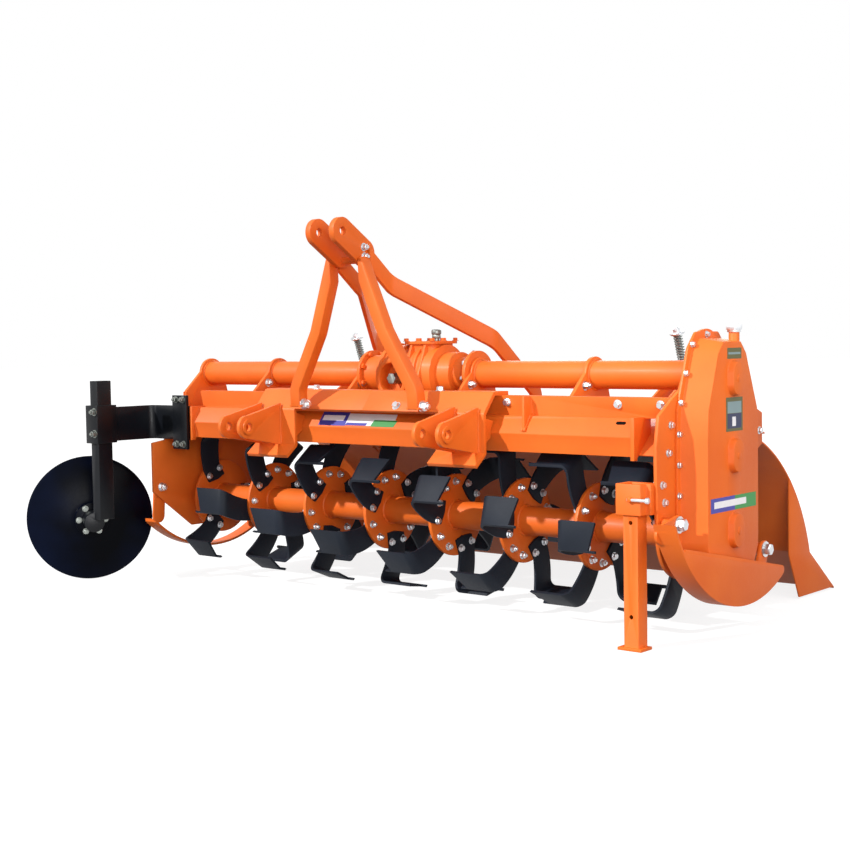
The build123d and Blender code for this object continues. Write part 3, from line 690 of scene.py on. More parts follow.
@dataclass(frozen=True)
class Rotor:
    """Flanges with their blades, and the bolts that hold them; sizes in mm, angles in degrees."""

    flange_edge: float = 1.6
    blade_edge: float = 1.2
    play: float = 0.3
    bolt_radius: float = 108
    blade_face: float = 14
    blades_a_hand: int = 3
    first_blade: float = 13
    stagger: float = 12.5
    root_sweep: float = 16
    bolt_half_angle: float = 15
    flats: float = 16

    def build(self) -> None:
        """Parts each ring's solid into its painted flange and its blades."""
        for number in range(1, RINGS + 1):
            node = f"blade_ring_{number}"
            for part, finish, width in (("flange", Finish.ORANGE, self.flange_edge),
                                        ("blades", Finish.BLADE, self.blade_edge)):
                bm = whole_copy(node)
                self.keep(bm, node, number, part)
                mesh = rounded(mesh_of(bm, f"{part}_{number}"), width)
                settle(f"{part}_{number}", mesh, "rotor", finish, stands_for=[node])

    def keep(self, bm: BMesh, node: str, number: int, part: str) -> None:
        """Leaves only the flange or only the blades in a copy, and closes it.

        Args:
            bm: The ring's copy.
            node: The ring's node.
            number: The ring's number.
            part: 'flange' or 'blades'.
        """
        low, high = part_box(node)
        middle = (low.x + high.x) / 2
        if number == 1:
            middle = low.x + FLANGE_HALF * MM
        if number == RINGS:
            middle = high.x - FLANGE_HALF * MM
        axis = spot(0, 0, 0).y
        axis_z = sum(corner.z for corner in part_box("rotor_shaft")) / 2
        reach = (FLANGE_HALF + self.play) * MM
        rim = (FLANGE_RADIUS + self.play) * MM
        gone = []
        for face in bm.faces:
            inside = all(
                abs(v.co.x - middle) < reach and math.hypot(v.co.y - axis, v.co.z - axis_z) < rim
                for v in face.verts
            )
            if inside != (part == "flange"):
                gone.append(face)
        bmesh.ops.delete(bm, geom=gone, context="FACES")
        open_edges = [e for e in bm.edges if e.is_boundary]
        bmesh.ops.holes_fill(bm, edges=open_edges, sides=0)

    def rows(self) -> list["Row"]:
        """Two bolts through each blade's root and its flange, heads on the blade and nuts behind.

        Returns:
            A row for each kind and each way that it points.
        """
        heads: dict[int, list[Point]] = {1: [], -1: []}
        nuts: dict[int, list[Point]] = {1: [], -1: []}
        for ring in range(RINGS):
            x = (ring - (RINGS - 1) / 2) * RING_PITCH
            for hand in {0: (1,), RINGS - 1: (-1,)}.get(ring, (1, -1)):
                for angle in self.bolt_angles(ring, hand):
                    turn = math.radians(angle)
                    y, z = -self.bolt_radius * math.sin(turn), ROTOR_Z + self.bolt_radius * math.cos(turn)
                    heads[hand].append((x + hand * self.blade_face, y, z))
                    nuts[-hand].append((x - hand * FLANGE_HALF, y, z))
        return [Row("rotor", kind, self.flats, (hand, 0, 0), places[hand])
                for kind, places in (("bolt", heads), ("nut", nuts)) for hand in (1, -1)]

    def bolt_angles(self, ring: int, hand: int) -> Iterable[float]:
        """The angles of one ring's bolts on one hand, in degrees from straight up.

        Args:
            ring: The ring's number, from 0.
            hand: 1 for the blades on the flange's right face, -1 for those on its left.

        Returns:
            The angles, two for each blade.
        """
        pitch = 360 / self.blades_a_hand
        for blade in range(self.blades_a_hand):
            middle = (self.first_blade + self.stagger * ring + pitch * blade
                      + (pitch / 2 if hand < 0 else 0) + self.root_sweep)
            yield middle - self.bolt_half_angle
            yield middle + self.bolt_half_angle


# ---- shapes shared by the small parts


def stack(bm: BMesh, rings: Sequence[Flat], sides: int) -> None:
    """Adds a closed solid made of rings about the Z axis, each given as radius and height.

    Args:
        bm: Takes the solid.
        rings: Radius and height of each ring, from the bottom up.
        sides: Corners of each ring; 6 makes a hexagon.
    """
    loops = []
    for radius, height in rings:
        loops.append([
            bm.verts.new((radius * math.cos(turn), radius * math.sin(turn), height))
            for turn in (2 * math.pi * k / sides for k in range(sides))
        ])
    for low, high in zip(loops, loops[1:]):
        for k in range(sides):
            after = (k + 1) % sides
            bm.faces.new((low[k], low[after], high[after], high[k]))
    bm.faces.new(loops[0][::-1])
    bm.faces.new(loops[-1])


def slab(bm: BMesh, corners: Sequence[Vector], thickness: Vector) -> None:
    """Adds a flat slab between a polygon and its copy moved by the thickness.

    Args:
        bm: Takes the slab.
        corners: The polygon, anticlockwise as seen from where the thickness points.
        thickness: From the polygon to its copy.
    """
    back = [bm.verts.new(corner) for corner in corners]
    front = [bm.verts.new(corner + thickness) for corner in corners]
    count = len(corners)
    for k in range(count):
        after = (k + 1) % count
        bm.faces.new((back[k], back[after], front[after], front[k]))
    bm.faces.new(front)
    bm.faces.new(back[::-1])


class Pattern:
    """A geometry tree with named inputs, which is run on a mesh."""

    def __init__(self, name: str, **kinds: str) -> None:
        """Makes the tree with its inputs.

        Args:
            name: The tree's name.
            kinds: Each input's kind of value, by the input's name.
        """
        self.tree = bpy.data.node_groups.new(name, "GeometryNodeTree")
        sockets = self.tree.interface
        for way in ("INPUT", "OUTPUT"):
            sockets.new_socket("Geometry", in_out=way, socket_type="NodeSocketGeometry")
        self.inputs = {
            key: sockets.new_socket(key, in_out="INPUT", socket_type="NodeSocket" + kind).identifier
            for key, kind in {**kinds, "Paint": "Material"}.items()
        }
        self.given = add_node(self.tree, "NodeGroupInput").outputs

    def close(self, last: NodeSocket) -> None:
        """Ends the tree by making its instances real and giving them their material.

        Args:
            last: The tree's finished shape.
        """
        real = add_node(self.tree, "GeometryNodeRealizeInstances", {"Geometry": last})
        painted = add_node(self.tree, "GeometryNodeSetMaterial",
                           {"Geometry": real.outputs[0], "Material": self.given["Paint"]})
        add_node(self.tree, "NodeGroupOutput", {"Geometry": painted.outputs[0]})

    def grow(self, mesh: Mesh, finish: Finish, **values: object) -> Mesh:
        """Runs the tree on a mesh.

        Args:
            mesh: The starting mesh; it is used up.
            finish: The finish of what grows.
            values: A value for each other input, by its name.

        Returns:
            The plain mesh that it makes.
        """
        holder = bpy.data.objects.new("tree_holder", mesh)
        modifier = holder.modifiers.new("tree", "NODES")
        modifier.node_group = self.tree
        for key, value in {**values, "Paint": paint(finish)}.items():
            modifier[self.inputs[key]] = value
        return evaluated(holder, mesh.name)


def ring_places(x: float, z: float, radius: float, count: int, start: float = 0) -> list[Point]:
    """Places on a circle that faces along X, its middle straight above the rotor's axis.

    Args:
        x: The circle's plane.
        z: Its middle.
        radius: Its radius.
        count: How many places.
        start: Degrees from straight up to the first.

    Returns:
        The places.
    """
    turns = [math.radians(start + 360 * k / count) for k in range(count)]
    return [(x, -radius * math.sin(turn), z + radius * math.cos(turn)) for turn in turns]


# ---- bolts and nuts


@dataclass(frozen=True)
class Row:
    """Fasteners of one kind and size that stand on one face.

    Args:
        body: The CAD body that carries them.
        kind: 'bolt' or 'nut'.
        flats: Width across the flats in mm.
        aim: The way they point.
        places: Where their washers touch the face, in the drawing's mm.
        finish: Their finish.
    """

    body: str
    kind: str
    flats: float
    aim: Point
    places: Sequence[Point]
    finish: Finish = Finish.ZINC


# Radius and height of each ring and the corners of the ring, for a fastener that is 1 across its flats.
WASHER = ([(0.78, 0.0), (0.78, 0.1)], 12)
HEX_HEAD = ([(0.577, 0.1), (0.577, 0.6), (0.49, 0.7)], 6)
HEX_NUT = ([(0.5, 0.1), (0.577, 0.17), (0.577, 0.76), (0.49, 0.84)], 6)
STUD_END = ([(0.32, 0.84), (0.32, 1.1), (0.27, 1.16)], 8)
KINDS = {
    "bolt": (WASHER, HEX_HEAD),
    "nut": (WASHER, HEX_NUT, STUD_END),
}
FIRST_SEED = 3


class Fasteners:
    """Gathers rows of fasteners and makes one mesh for each body, kind and finish."""

    def __init__(self, rows: Sequence[Row]) -> None:
        """Takes the rows and makes the tree that stands them up.

        Args:
            rows: Every fastener on the machine.
        """
        self.rows = rows
        self.pattern = Pattern("fasteners", Template="Object", Seed="Int")
        self.fill(self.pattern)

    def fill(self, pattern: Pattern) -> None:
        """Stands a template on every point, along its aim and turned at random about it.

        Args:
            pattern: Takes the nodes.
        """
        tree, given = pattern.tree, pattern.given
        info = add_node(tree, "GeometryNodeObjectInfo", {"Object": given["Template"]})
        aim = add_node(tree, "GeometryNodeInputNamedAttribute", {"Name": "aim"}, data_type="FLOAT_VECTOR")
        flats = add_node(tree, "GeometryNodeInputNamedAttribute", {"Name": "flats"}, data_type="FLOAT")
        upright = add_node(tree, "FunctionNodeAlignRotationToVector", {"Vector": aim.outputs[0]}, axis="Z")
        chance = add_node(tree, "FunctionNodeRandomValue",
                          {"Seed": given["Seed"], 2: 0.0, 3: math.pi / 3}, data_type="FLOAT")
        about = add_node(tree, "ShaderNodeCombineXYZ", {"Z": chance.outputs[1]})
        spun = add_node(tree, "FunctionNodeRotateRotation",
                        {"Rotation": upright.outputs[0], "Rotate By": about.outputs[0]},
                        rotation_space="LOCAL")
        stood = add_node(tree, "GeometryNodeInstanceOnPoints",
                         {"Points": given["Geometry"], "Instance": info.outputs["Geometry"],
                          "Rotation": spun.outputs[0], "Scale": flats.outputs[0]})
        pattern.close(stood.outputs[0])

    def build(self) -> None:
        """Makes a piece for each body, kind and finish that the rows name."""
        templates = {kind: self.make_template(kind) for kind in KINDS}
        groups = sorted({(row.body, row.kind, row.finish.name) for row in self.rows})
        for number, (body, kind, finish_name) in enumerate(groups):
            finish = Finish[finish_name]
            rows = [row for row in self.rows if (row.body, row.kind, row.finish) == (body, kind, finish)]
            name = f"{body}_{kind}s_{finish_name.lower()}"
            mesh = self.pattern.grow(self.points(name, rows), finish, Template=templates[kind],
                                     Seed=number + FIRST_SEED)
            settle(name, mesh, body, finish)
        for template in templates.values():
            bpy.data.objects.remove(template)

    def make_template(self, kind: str) -> Object:
        """One fastener that is 1 across its flats, pointing up.

        Args:
            kind: 'bolt' or 'nut'.

        Returns:
            An object outside the scene.
        """
        bm = bmesh.new()
        for rings, sides in KINDS[kind]:
            stack(bm, rings, sides)
        return bpy.data.objects.new(kind, mesh_of(bm, kind))

    def points(self, name: str, rows: Sequence[Row]) -> Mesh:
        """Loose points that carry the aim and the size of each fastener.

        Args:
            name: The mesh's name.
            rows: The fasteners.

        Returns:
            The mesh of points.
        """
        places, aims, sizes = [], [], []
        for row in rows:
            for place in row.places:
                places.append(spot(*place))
                aims.extend(row.aim)
                sizes.append(row.flats * MM)
        mesh = bpy.data.meshes.new(name)
        mesh.from_pydata(places, [], [])
        mesh.attributes.new("aim", "FLOAT_VECTOR", "POINT").data.foreach_set("vector", aims)
        mesh.attributes.new("flats", "FLOAT", "POINT").data.foreach_set("value", sizes)
        return mesh


@dataclass(frozen=True)
class CaseRim:
    """The bolted rim round the gear case, seen from the right, in mm.

    Args:
        line: The outline as (y, z), from the front foot over the top to the rear one.
        radius: Radius of its round foot, which is about the rotor's axis.
        out: How far the bolts lie outside the outline.
        middle: A place inside it.
        spacing: The most that two bolts lie apart.
        arc_steps: Straight pieces that the round foot is walked in.
    """

    line: tuple[Flat, ...] = ((-156, 283), (-156, 560), (-152, 640), (-96, 800), (-60, 838), (50, 838),
                              (86, 800), (152, 640), (156, 560), (156, 283))
    radius: float = 156
    out: float = 8
    middle: Flat = (0, 540)
    spacing: float = 84
    arc_steps: int = 24

    def places(self) -> list[Flat]:
        """Evenly spaced bolt places all round, as (y, z).

        Returns:
            The places, in mm.
        """
        turns = (math.pi * k / self.arc_steps for k in range(1, self.arc_steps))
        line = [*self.line, *((self.radius * math.cos(turn), ROTOR_Z - self.radius * math.sin(turn))
                              for turn in turns)]
        lengths = [math.dist(a, b) for a, b in zip(line, line[1:] + line[:1])]
        step = sum(lengths) / math.ceil(sum(lengths) / self.spacing)
        walked, places = 0.0, []
        for (y0, z0), (y1, z1), length in zip(line, line[1:] + line[:1], lengths):
            out = Vector((z0 - z1, y1 - y0)).normalized() * self.out
            if out.dot(Vector((y0 - self.middle[0], z0 - self.middle[1]))) < 0:
                out = -out
            while len(places) * step + step / 2 < walked + length:
                share = (len(places) * step + step / 2 - walked) / length
                places.append((y0 + (y1 - y0) * share + out.x, z0 + (z1 - z0) * share + out.y))
            walked += length
        return places


# Bolt places on the frame, in the drawing's mm; pairs are (y, z) on an upright face along Y.
PLATE_BOLT = (-192, 603)
PLATE_THROUGH_BOLTS = ((-206, 528), (-238, 444), (-228, 396), (262, 468), (312, 560))
SKID_BOLTS_LEFT = ((-225, 330), (254, 217))
SKID_BOLTS_RIGHT = ((-233, 340), (254, 217))
SKID_TAB_RIGHT = 1093
CASE_RIM_T = 8
SKID_TAB_T = 8
HEAD_FACE = 59
HEAD_BOLTS = ((-294, 1129), (-292, 1100))
BRACKET_FACE = 34
BRACKET_BOLTS = ((400, 655), (470, 690))
COVER_X, COVER_Y, COVER_Z = (-8, 46, 100), (-58, 58), 838
ARM_FACE = -230
ARM_BOLTS = [(x, ARM_FACE, z) for x in (-940, -904) for z in (488, 645)]
STANDARD_BOLTS = [(-1078, -480, z) for z in (610, 534)]
LEG_FOOT_BOLTS = [(HITCH_X - 228, -278, 643), (HITCH_X + 268, -274, 643)]
APRON_TOP_BOLTS = [(HITCH_X + side * 262, -182, 687) for side in (-1, 1)]
APRON_FRONT_BOLT, APRON_FRONT_OUT = (104, -239.1, 640), (0, -59, 48)
SADDLE_BOLTS = [(x, -60, 702) for x in SADDLES[1:]]
BAND_BOLTS_X, BAND_BOLTS_Z = (478, 864, 1002), 656
BAND_TOP, BAND_OUT = (-162, 617), (0, -58, -12)


def on_face(x: float, pairs: Iterable[Flat]) -> list[Point]:
    """Places on an upright face along Y, from their (y, z)."""
    return [(x, y, z) for y, z in pairs]


def frame_rows() -> list[Row]:
    """Every fastener on the frame.

    Returns:
        A row for each face, kind and size.
    """
    bolts, nuts = partial(Row, "frame", "bolt"), partial(Row, "frame", "nut")
    through = list(PLATE_THROUGH_BOLTS)
    inner = SIDE_FACE - SIDE_T
    cover = [(x, y, COVER_Z) for x in COVER_X for y in COVER_Y]
    cover += [(COVER_X[0], 0, COVER_Z), (COVER_X[-1], 0, COVER_Z)]
    rows = [
        bolts(13, RIGHT, on_face(SIDE_FACE + CASE_RIM_T, CaseRim().places())),
        bolts(15, RIGHT, on_face(SIDE_FACE, [PLATE_BOLT, *through])),
        nuts(17, LEFT, on_face(inner, through)),
        bolts(30, RIGHT, on_face(SKID_TAB_RIGHT, SKID_BOLTS_RIGHT)),
        nuts(22, LEFT, on_face(inner, SKID_BOLTS_RIGHT)),
        bolts(22, LEFT, on_face(-SIDE_FACE - SKID_TAB_T, SKID_BOLTS_LEFT)),
        nuts(22, RIGHT, on_face(-inner, SKID_BOLTS_LEFT)),
        bolts(17, LEFT, ring_places(-1055, ROTOR_Z, radius=70, count=6, start=30)),
        bolts(19, LEFT, SADDLE_BOLTS),
        nuts(19, RIGHT, [(x + SADDLE_T, y, z) for x, y, z in SADDLE_BOLTS]),
        nuts(24, RIGHT, LEG_FOOT_BOLTS),
        bolts(19, UP, APRON_TOP_BOLTS),
        bolts(19, tuple(Vector(APRON_FRONT_OUT).normalized()), [APRON_FRONT_BOLT]),
        nuts(17, RIGHT, on_face(HITCH_X + HEAD_FACE, HEAD_BOLTS)),
        bolts(17, LEFT, on_face(HITCH_X - HEAD_FACE, HEAD_BOLTS)),
        bolts(15, RIGHT, ring_places(-198, TUBE_Z, radius=69.5, count=8, start=22.5), Finish.ORANGE),
        bolts(15, LEFT, ring_places(230, TUBE_Z, radius=65, count=8, start=10)),
        bolts(14, UP, cover, Finish.ORANGE),
        nuts(16, FRONT, ARM_BOLTS, Finish.SPRING),
        nuts(18, FRONT, STANDARD_BOLTS, Finish.SPRING),
    ]
    for aim in (LEFT, RIGHT):
        faces = [side * ROD_X + aim[0] * BRACKET_FACE for side in (-1, 1)]
        rows.append(bolts(13, aim, [p for x in faces for p in on_face(x, BRACKET_BOLTS)]))
    top_y, top_z = BAND_TOP
    band_y = top_y + BAND_OUT[2] * (BAND_BOLTS_Z - top_z) / -BAND_OUT[1]
    rows.append(bolts(17, tuple(Vector(BAND_OUT).normalized()),
                      [(x, band_y, BAND_BOLTS_Z) for x in BAND_BOLTS_X]))
    return rows


def disc_rows(hub_face: float = 75, radius: float = 46, count: int = 6) -> list[Row]:
    """Bolts on the furrow disc's hub.

    Args:
        hub_face: From the disc's middle to the hub's face, in mm.
        radius: Radius of the ring of bolts, in mm.
        count: How many there are.

    Returns:
        One row.
    """
    turn = math.radians(DISC_YAW)
    axis = Vector((math.sin(turn), -math.cos(turn), 0))
    across = Vector((math.cos(turn), math.sin(turn), 0))
    middle = Vector(DISC_CENTRE) + axis * hub_face
    places = []
    for k in range(count):
        angle = math.radians(360 / count * k)
        ray = across * math.cos(angle) + Vector(UP) * math.sin(angle)
        places.append(tuple(middle + ray * radius))
    return [Row("disc", "bolt", 14, tuple(axis), places, Finish.SPRING)]


# ---- springs


@dataclass
class Springs:
    """Coil springs between the brackets' guides and the caps of the rear board's rods.

    Args:
        turns: Turns of each spring.
        wire: Radius of its wire in mm.
        coil: Radius of its coil in mm, to the wire's middle.
        lug: The rod's pivot in the drawing's mm, apart from its x.
        top: The rod's upper end.
        guide_z: Height of the bracket's guide.
        seat_gap: From the guide to the spring, in mm.
        cap_drop: From the rod's upper end down to the spring, in mm.
    """

    turns: int = 17
    wire: float = 2.6
    coil: float = 12.2
    lug: Point = (0, 592, 447)
    top: Point = (0, 440, 870)
    guide_z: float = 700
    seat_gap: float = 0.5
    cap_drop: float = 22

    def pattern(self) -> Pattern:
        """Sweeps a round wire along a spiral.

        Returns:
            The pattern, with the spring's sizes as its inputs.
        """
        made = Pattern("coil", Turns="Float", Length="Float", Coil="Float", Wire="Float")
        tree, given = made.tree, made.given
        spiral = add_node(tree, "GeometryNodeCurveSpiral",
                          {"Resolution": 20, "Rotations": given["Turns"], "Start Radius": given["Coil"],
                           "End Radius": given["Coil"], "Height": given["Length"]})
        wire = add_node(tree, "GeometryNodeCurvePrimitiveCircle",
                        {"Resolution": 8, "Radius": given["Wire"]})
        swept = add_node(tree, "GeometryNodeCurveToMesh",
                         {"Curve": spiral.outputs[0], "Profile Curve": wire.outputs[0], "Fill Caps": True})
        made.close(swept.outputs[0])
        return made

    def build(self) -> None:
        """Stands a spring in for each spring's solid."""
        rod = math.dist(self.lug, self.top)
        along = (Vector(self.top) - Vector(self.lug)).normalized()
        guide = rod * (self.guide_z - self.lug[2]) / (self.top[2] - self.lug[2])
        start = guide + self.seat_gap + self.wire
        length = rod - self.cap_drop - start - self.wire
        pattern = self.pattern()
        for side, x in (("left", -ROD_X), ("right", ROD_X)):
            mesh = pattern.grow(bpy.data.meshes.new("spring"), Finish.SPRING, Turns=float(self.turns),
                                Length=length * MM, Coil=self.coil * MM, Wire=self.wire * MM)
            foot = spot(x, *self.lug[1:]) + along * start * MM
            mesh.transform(Matrix.Translation(foot) @ along.to_track_quat("Z", "X").to_matrix().to_4x4())
            node = f"spring_{side}"
            settle(node + "_coil", mesh, f"rod_{side}", Finish.SPRING, stands_for=[node])


# ---- welds


# Where the hitch's seams lie, in mm: ears and legs from the hitch's middle, and their faces from their own.
EAR_OUT = 412.5
EAR_FACES = (-50, -38, 38, 50)
CLAMP_FRONT = -252.5
LEG_OUT = 248
LEG_HALF = 20.5
GUSSET_FACES = (558, 566)


@dataclass
class Welds:
    """Fillet welds: a rippled bead along each seam, painted with the steel.

    Args:
        bead: Radius of the bead in mm.
        swell: How much the radius rises and falls, as a share of it.
        step: Spacing in mm of the rings that the bead is swept through.
        phase: Turn of the ripple from one ring to the next, in radians.
        rotor_seam: Radius in mm of a seam round the rotor's tube.
        tube_seam: Radius in mm of a seam round a main tube.
        last_seam: How far from its middle the rotor's tube is welded, in mm.
        lines: The seams of each body, in the frame's metres.
    """

    bead: float = 4.2
    swell: float = 0.16
    step: float = 5.5
    phase: float = 2.1
    rotor_seam: float = 46
    tube_seam: float = 43.5
    last_seam: float = 968
    lines: dict[str, list[list[Vector]]] = field(default_factory=dict)

    def pattern(self) -> Pattern:
        """Sweeps a small circle along each seam, its radius rising and falling as the bead does.

        Returns:
            The pattern, with the bead's radius and ripple as its inputs.
        """
        made = Pattern("weld", Radius="Float", Ripple="Float")
        tree, given = made.tree, made.given
        seam = add_node(tree, "GeometryNodeMeshToCurve", {"Mesh": given["Geometry"]})
        even = add_node(tree, "GeometryNodeResampleCurve",
                        {"Curve": seam.outputs[0], "Length": self.step * MM}, mode="LENGTH")
        run = add_node(tree, "GeometryNodeSplineParameter")
        phase = add_node(tree, "ShaderNodeMath", {0: run.outputs["Index"], 1: self.phase},
                         operation="MULTIPLY")
        wave = add_node(tree, "ShaderNodeMath", {0: phase.outputs[0]}, operation="SINE")
        swell = add_node(tree, "ShaderNodeMath", {0: wave.outputs[0], 1: given["Ripple"], 2: 1.0},
                         operation="MULTIPLY_ADD")
        sized = add_node(tree, "GeometryNodeSetCurveRadius",
                         {"Curve": even.outputs[0], "Radius": swell.outputs[0]})
        ring = add_node(tree, "GeometryNodeCurvePrimitiveCircle",
                        {"Resolution": 6, "Radius": given["Radius"]})
        swept = add_node(tree, "GeometryNodeCurveToMesh",
                         {"Curve": sized.outputs[0], "Profile Curve": ring.outputs[0], "Fill Caps": True})
        made.close(swept.outputs[0])
        return made

    def seam(self, *places: Point, body: str = "frame") -> None:
        """Adds a seam through places given in the drawing's mm."""
        self.lines.setdefault(body, []).append([spot(*place) for place in places])

    def round_seam(self, x: float, z: float, radius: float, body: str = "frame") -> None:
        """Adds a seam round a tube that runs along X."""
        places = ring_places(x, z, radius, count=28)
        self.seam(*places, places[0], body=body)

    def build(self) -> None:
        """Makes one piece of welds for each body."""
        self.rotor_seams()
        self.tube_seams()
        self.beam_ends()
        self.hitch_seams()
        self.gusset_seams()
        pattern = self.pattern()
        for body, lines in self.lines.items():
            places, edges = [], []
            for line in lines:
                edges += [(len(places) + k, len(places) + k + 1) for k in range(len(line) - 1)]
                places += line
            mesh = bpy.data.meshes.new(f"{body}_welds")
            mesh.from_pydata(places, edges, [])
            mesh = pattern.grow(mesh, Finish.ORANGE, Radius=self.bead * MM, Ripple=self.swell)
            settle(f"{body}_welds", mesh, body, Finish.ORANGE, smooth=60)

    def rotor_seams(self) -> None:
        """Round the rotor's tube on both sides of each flange, but not outside the last ones."""
        for ring in range(RINGS):
            x = (ring - (RINGS - 1) / 2) * RING_PITCH
            for face in (x - FLANGE_HALF, x + FLANGE_HALF):
                if abs(face) < self.last_seam:
                    self.round_seam(face, ROTOR_Z, self.rotor_seam, body="rotor")

    def tube_seams(self) -> None:
        """Round the main tube at each saddle where it is free, and down each saddle's front edge."""
        hidden = (SADDLES[0], SADDLES[2] + SADDLE_T, SADDLES[3])
        for x in SADDLES:
            for face in (x, x + SADDLE_T):
                if face not in hidden:
                    self.round_seam(face, TUBE_Z, self.tube_seam)
                self.seam((face, -127, 668), (face, -127, 592))
        self.round_seam(SIDE_FACE - SIDE_T, TUBE_Z, self.tube_seam)

    def beam_ends(self) -> None:
        """Up the front of the beam's two ends."""
        for x in BEAM_ENDS:
            self.seam((x, -196.5, 512), (x, -196.5, 530), (x, -207.5, 566), (x, -181, 616))

    def hitch_seams(self) -> None:
        """Down both faces of each ear, and along both sides of each front leg's foot."""
        for side in (-1, 1):
            ear = HITCH_X + side * EAR_OUT
            for off in EAR_FACES:
                self.seam((ear + off, CLAMP_FRONT, 512), (ear + off, CLAMP_FRONT, 634))
            leg = HITCH_X + side * LEG_OUT
            for off in (-LEG_HALF, LEG_HALF):
                self.seam((leg + off, -298, 637), (leg + off, -258, 637))

    def gusset_seams(self) -> None:
        """Over both faces of the beam's gusset, and up the right side plate."""
        for x in GUSSET_FACES:
            self.seam((x, -207, 574), (x, -180.5, 617), (x, -163, 617), (x, -174, 673))
        self.seam((1034, -196, 523), (1034, -207, 566), (1034, -181, 616))


# ---- labels


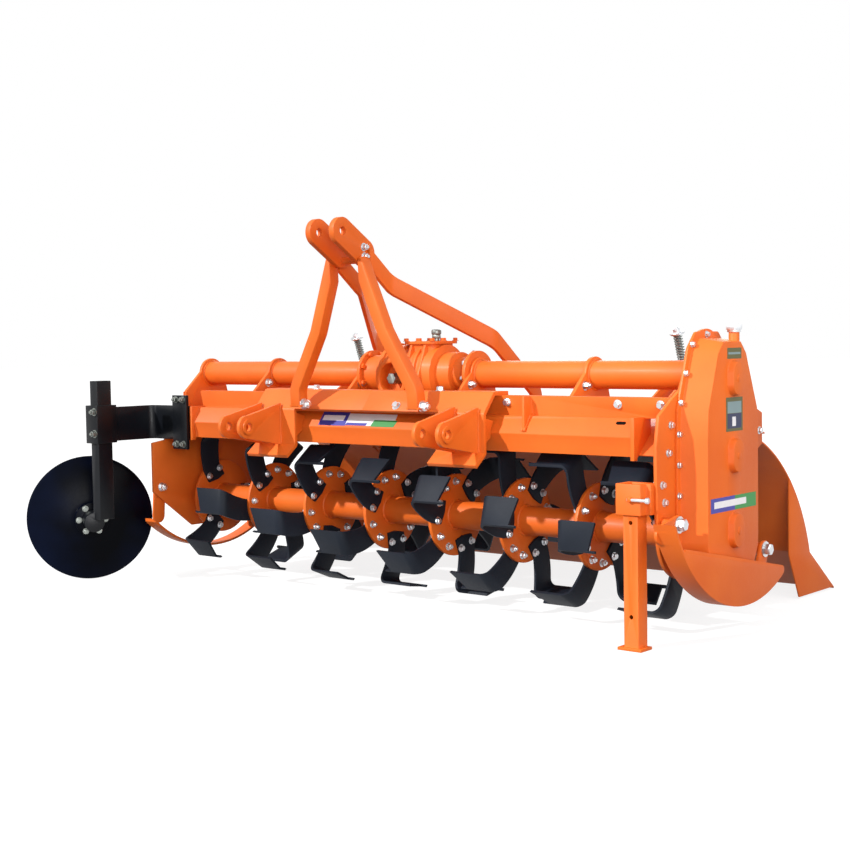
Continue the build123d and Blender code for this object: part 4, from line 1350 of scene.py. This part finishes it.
@dataclass(frozen=True)
class Labels:
    """The slot's dark is a matt film of painted shade laid on the slope, standing in for its shadowed
    hollow.

    Args:
        film: Thickness of a film in mm.
        lift: From the steel to the first film in mm, too small to show.
        slot_at: Middle of the drain slot in the beam's slope.
        slot_reach: From there to the middle of each round end, in mm.
        slot_radius: Radius of the round ends in mm.
        slot_corners: Corners of the slot's outline.
    """

    film: float = 0.25
    lift: float = 0.1
    slot_at: Point = (884, -186.9, 604)
    slot_reach: float = 11
    slot_radius: float = 5
    slot_corners: int = 16

    def flat(self, name: str, finish: Finish, corners: Sequence[Point], out: Point,
             layer: int = 1) -> None:
        """Lays one film on a flat face.

        Args:
            name: The piece's name.
            finish: Its print.
            corners: Its outline in the drawing's mm, anticlockwise from outside.
            out: The face's outward direction.
            layer: 1 on the steel, more on other films.
        """
        away = Vector(out).normalized()
        bm = bmesh.new()
        lifted = [spot(*corner) + away * (self.lift + self.film * (layer - 1)) * MM for corner in corners]
        slab(bm, lifted, away * self.film * MM)
        settle(name, mesh_of(bm, name), "frame", finish)

    def on_case(self, name: str, finish: Finish, y: Flat, z: Flat, layer: int = 1) -> None:
        """Lays an upright oblong on the gear case's outer face, from its y and z ranges."""
        corners = on_face(CASE_FACE, [(y[0], z[0]), (y[1], z[0]), (y[1], z[1]), (y[0], z[1])])
        self.flat(name, finish, corners, RIGHT, layer)

    def on_beam(self, name: str, finish: Finish, x: Flat, share: Flat, slant: float, layer: int) -> None:
        """Lays a slanted strip on the beam's upper slope.

        Args:
            name: The piece's name.
            finish: Its print.
            x: Where its lower edge starts and ends.
            share: How far up the slope it starts and ends, from 0 to 1.
            slant: How far its upper edge lies to the right of the lower one, in mm.
            layer: 1 on the steel, more on other films.
        """
        foot, top = Vector(SLOPE_FOOT), Vector(SLOPE_TOP)
        low, high = foot.lerp(top, share[0]), foot.lerp(top, share[1])
        corners = [(x[0], *low), (x[1], *low), (x[1] + slant, *high), (x[0] + slant, *high)]
        self.flat(name, finish, corners, SLOPE_OUT, layer)

    def build(self) -> None:
        """Lays every film."""
        self.on_beam("strip_white", Finish.WHITE_PRINT, (-262, 56), (0.14, 0.86), 4, 1)
        self.on_beam("strip_violet", Finish.VIOLET_PRINT, (-268, -150), (0.1, 0.92), 8, 2)
        self.on_beam("strip_violet_bar", Finish.WHITE_PRINT, (-256, -162), (0.4, 0.72), 4, 3)
        self.on_beam("strip_green", Finish.GREEN_PRINT, (-40, 58), (0.1, 0.5), 10, 2)
        self.on_beam("strip_navy", Finish.VIOLET_PRINT, (-150, -60), (0.14, 0.3), 6, 2)
        self.on_case("label_green", Finish.OLIVE_PRINT, (-42, 52), (578, 672), 1)
        self.on_case("label_grey", Finish.GREY_PRINT, (-34, 44), (628, 660), 2)
        self.on_case("label_navy", Finish.NAVY_PRINT, (-34, 44), (586, 627), 2)
        self.on_case("label_white", Finish.WHITE_PRINT, (-8, 12), (592, 618), 3)
        self.on_case("band_violet", Finish.VIOLET_PRINT, (-128, 6), (360, 400), 1)
        self.on_case("band_white", Finish.WHITE_PRINT, (-110, 70), (372, 390), 2)
        self.on_case("band_green", Finish.GREEN_PRINT, (6, 128), (360, 400), 1)
        self.on_case("top_label_dark", Finish.OLIVE_PRINT, (-34, 46), (778, 808), 1)
        self.on_case("top_label_pale", Finish.GREY_PRINT, (-28, 40), (790, 796), 2)
        self.slot()

    def slot(self) -> None:
        """The dark drain slot near the right end of the beam's slope."""
        # Painted shade: the dark film on the slope stands in for the shadow inside the drain slot.
        up = Vector((0, -SLOPE_OUT[2], SLOPE_OUT[1])).normalized() * -self.slot_radius
        corners = []
        for k in range(self.slot_corners):
            turn = 2 * math.pi * k / self.slot_corners
            end = math.copysign(self.slot_reach, math.cos(turn))
            along = Vector((end + self.slot_radius * math.cos(turn), 0, 0))
            corners.append(tuple(Vector(self.slot_at) + along + up * math.sin(turn)))
        self.flat("beam_slot", Finish.SHADE, corners, SLOPE_OUT)


# ---- pins and vents


class Turned(NamedTuple):
    """A small turned part on the frame.

    Args:
        name: The piece's name.
        finish: Its finish.
        foot: Where it starts, in the drawing's mm.
        aim: The way it points.
        solids: Rings and corner counts of its solids, in mm.
    """

    name: str
    finish: Finish
    foot: Point
    aim: Point
    solids: tuple[tuple[list[Flat], int], ...]


TURNED = (
    Turned("stand_pin", Finish.ZINC, (984, -317, 409), RIGHT,
           (([(3.5, 0), (4.6, 2), (4.6, 64)], 12), ([(8, 58), (8.5, 60), (8.5, 66), (7.5, 68)], 12))),
    Turned("stand_pin_lug", Finish.ORANGE, (992, -310, 409), FRONT, (([(8, -1), (8, 9), (6, 12)], 10),)),
    Turned("breather", Finish.SPRING, (76, -8, 838), UP,
           (([(10, 0), (10, 14)], 12), ([(15, 8), (15, 20)], 6),
            ([(13, 20), (16, 23), (16, 33), (13, 37)], 16))),
    *(Turned(f"case_plug_{z}", Finish.ORANGE, (1147.5, 0, z), RIGHT,
             (([(11, 0), (11, 1.4), (9.5, 2.2)], 16),)) for z in (724, 511, 303)),
)
TURNED_EDGE = 0.5


def small_parts() -> None:
    """The stand's pin, the gearbox's breather and the plugs of the gear case."""
    for part in TURNED:
        bm = bmesh.new()
        for rings, sides in part.solids:
            stack(bm, rings, sides)
        mesh = mesh_of(bm, part.name)
        turn = Vector(part.aim).to_track_quat("Z", "Y").to_matrix().to_4x4()
        mesh.transform(Matrix.Translation(spot(*part.foot)) @ turn @ Matrix.Scale(MM, 4))
        settle(part.name, rounded(mesh, TURNED_EDGE, segments=1), "frame", part.finish)


# ---- whole machine


def main() -> None:
    """Builds the machine's finish in order."""
    logging.basicConfig(level=logging.INFO, format="%(name)s %(message)s")
    Studio().build()
    dress_solids()
    rotor = Rotor()
    rotor.build()
    Springs().build()
    Fasteners(frame_rows() + rotor.rows() + disc_rows()).build()
    Welds().build()
    Labels().build()
    small_parts()


if __name__ == "__main__":
    main()
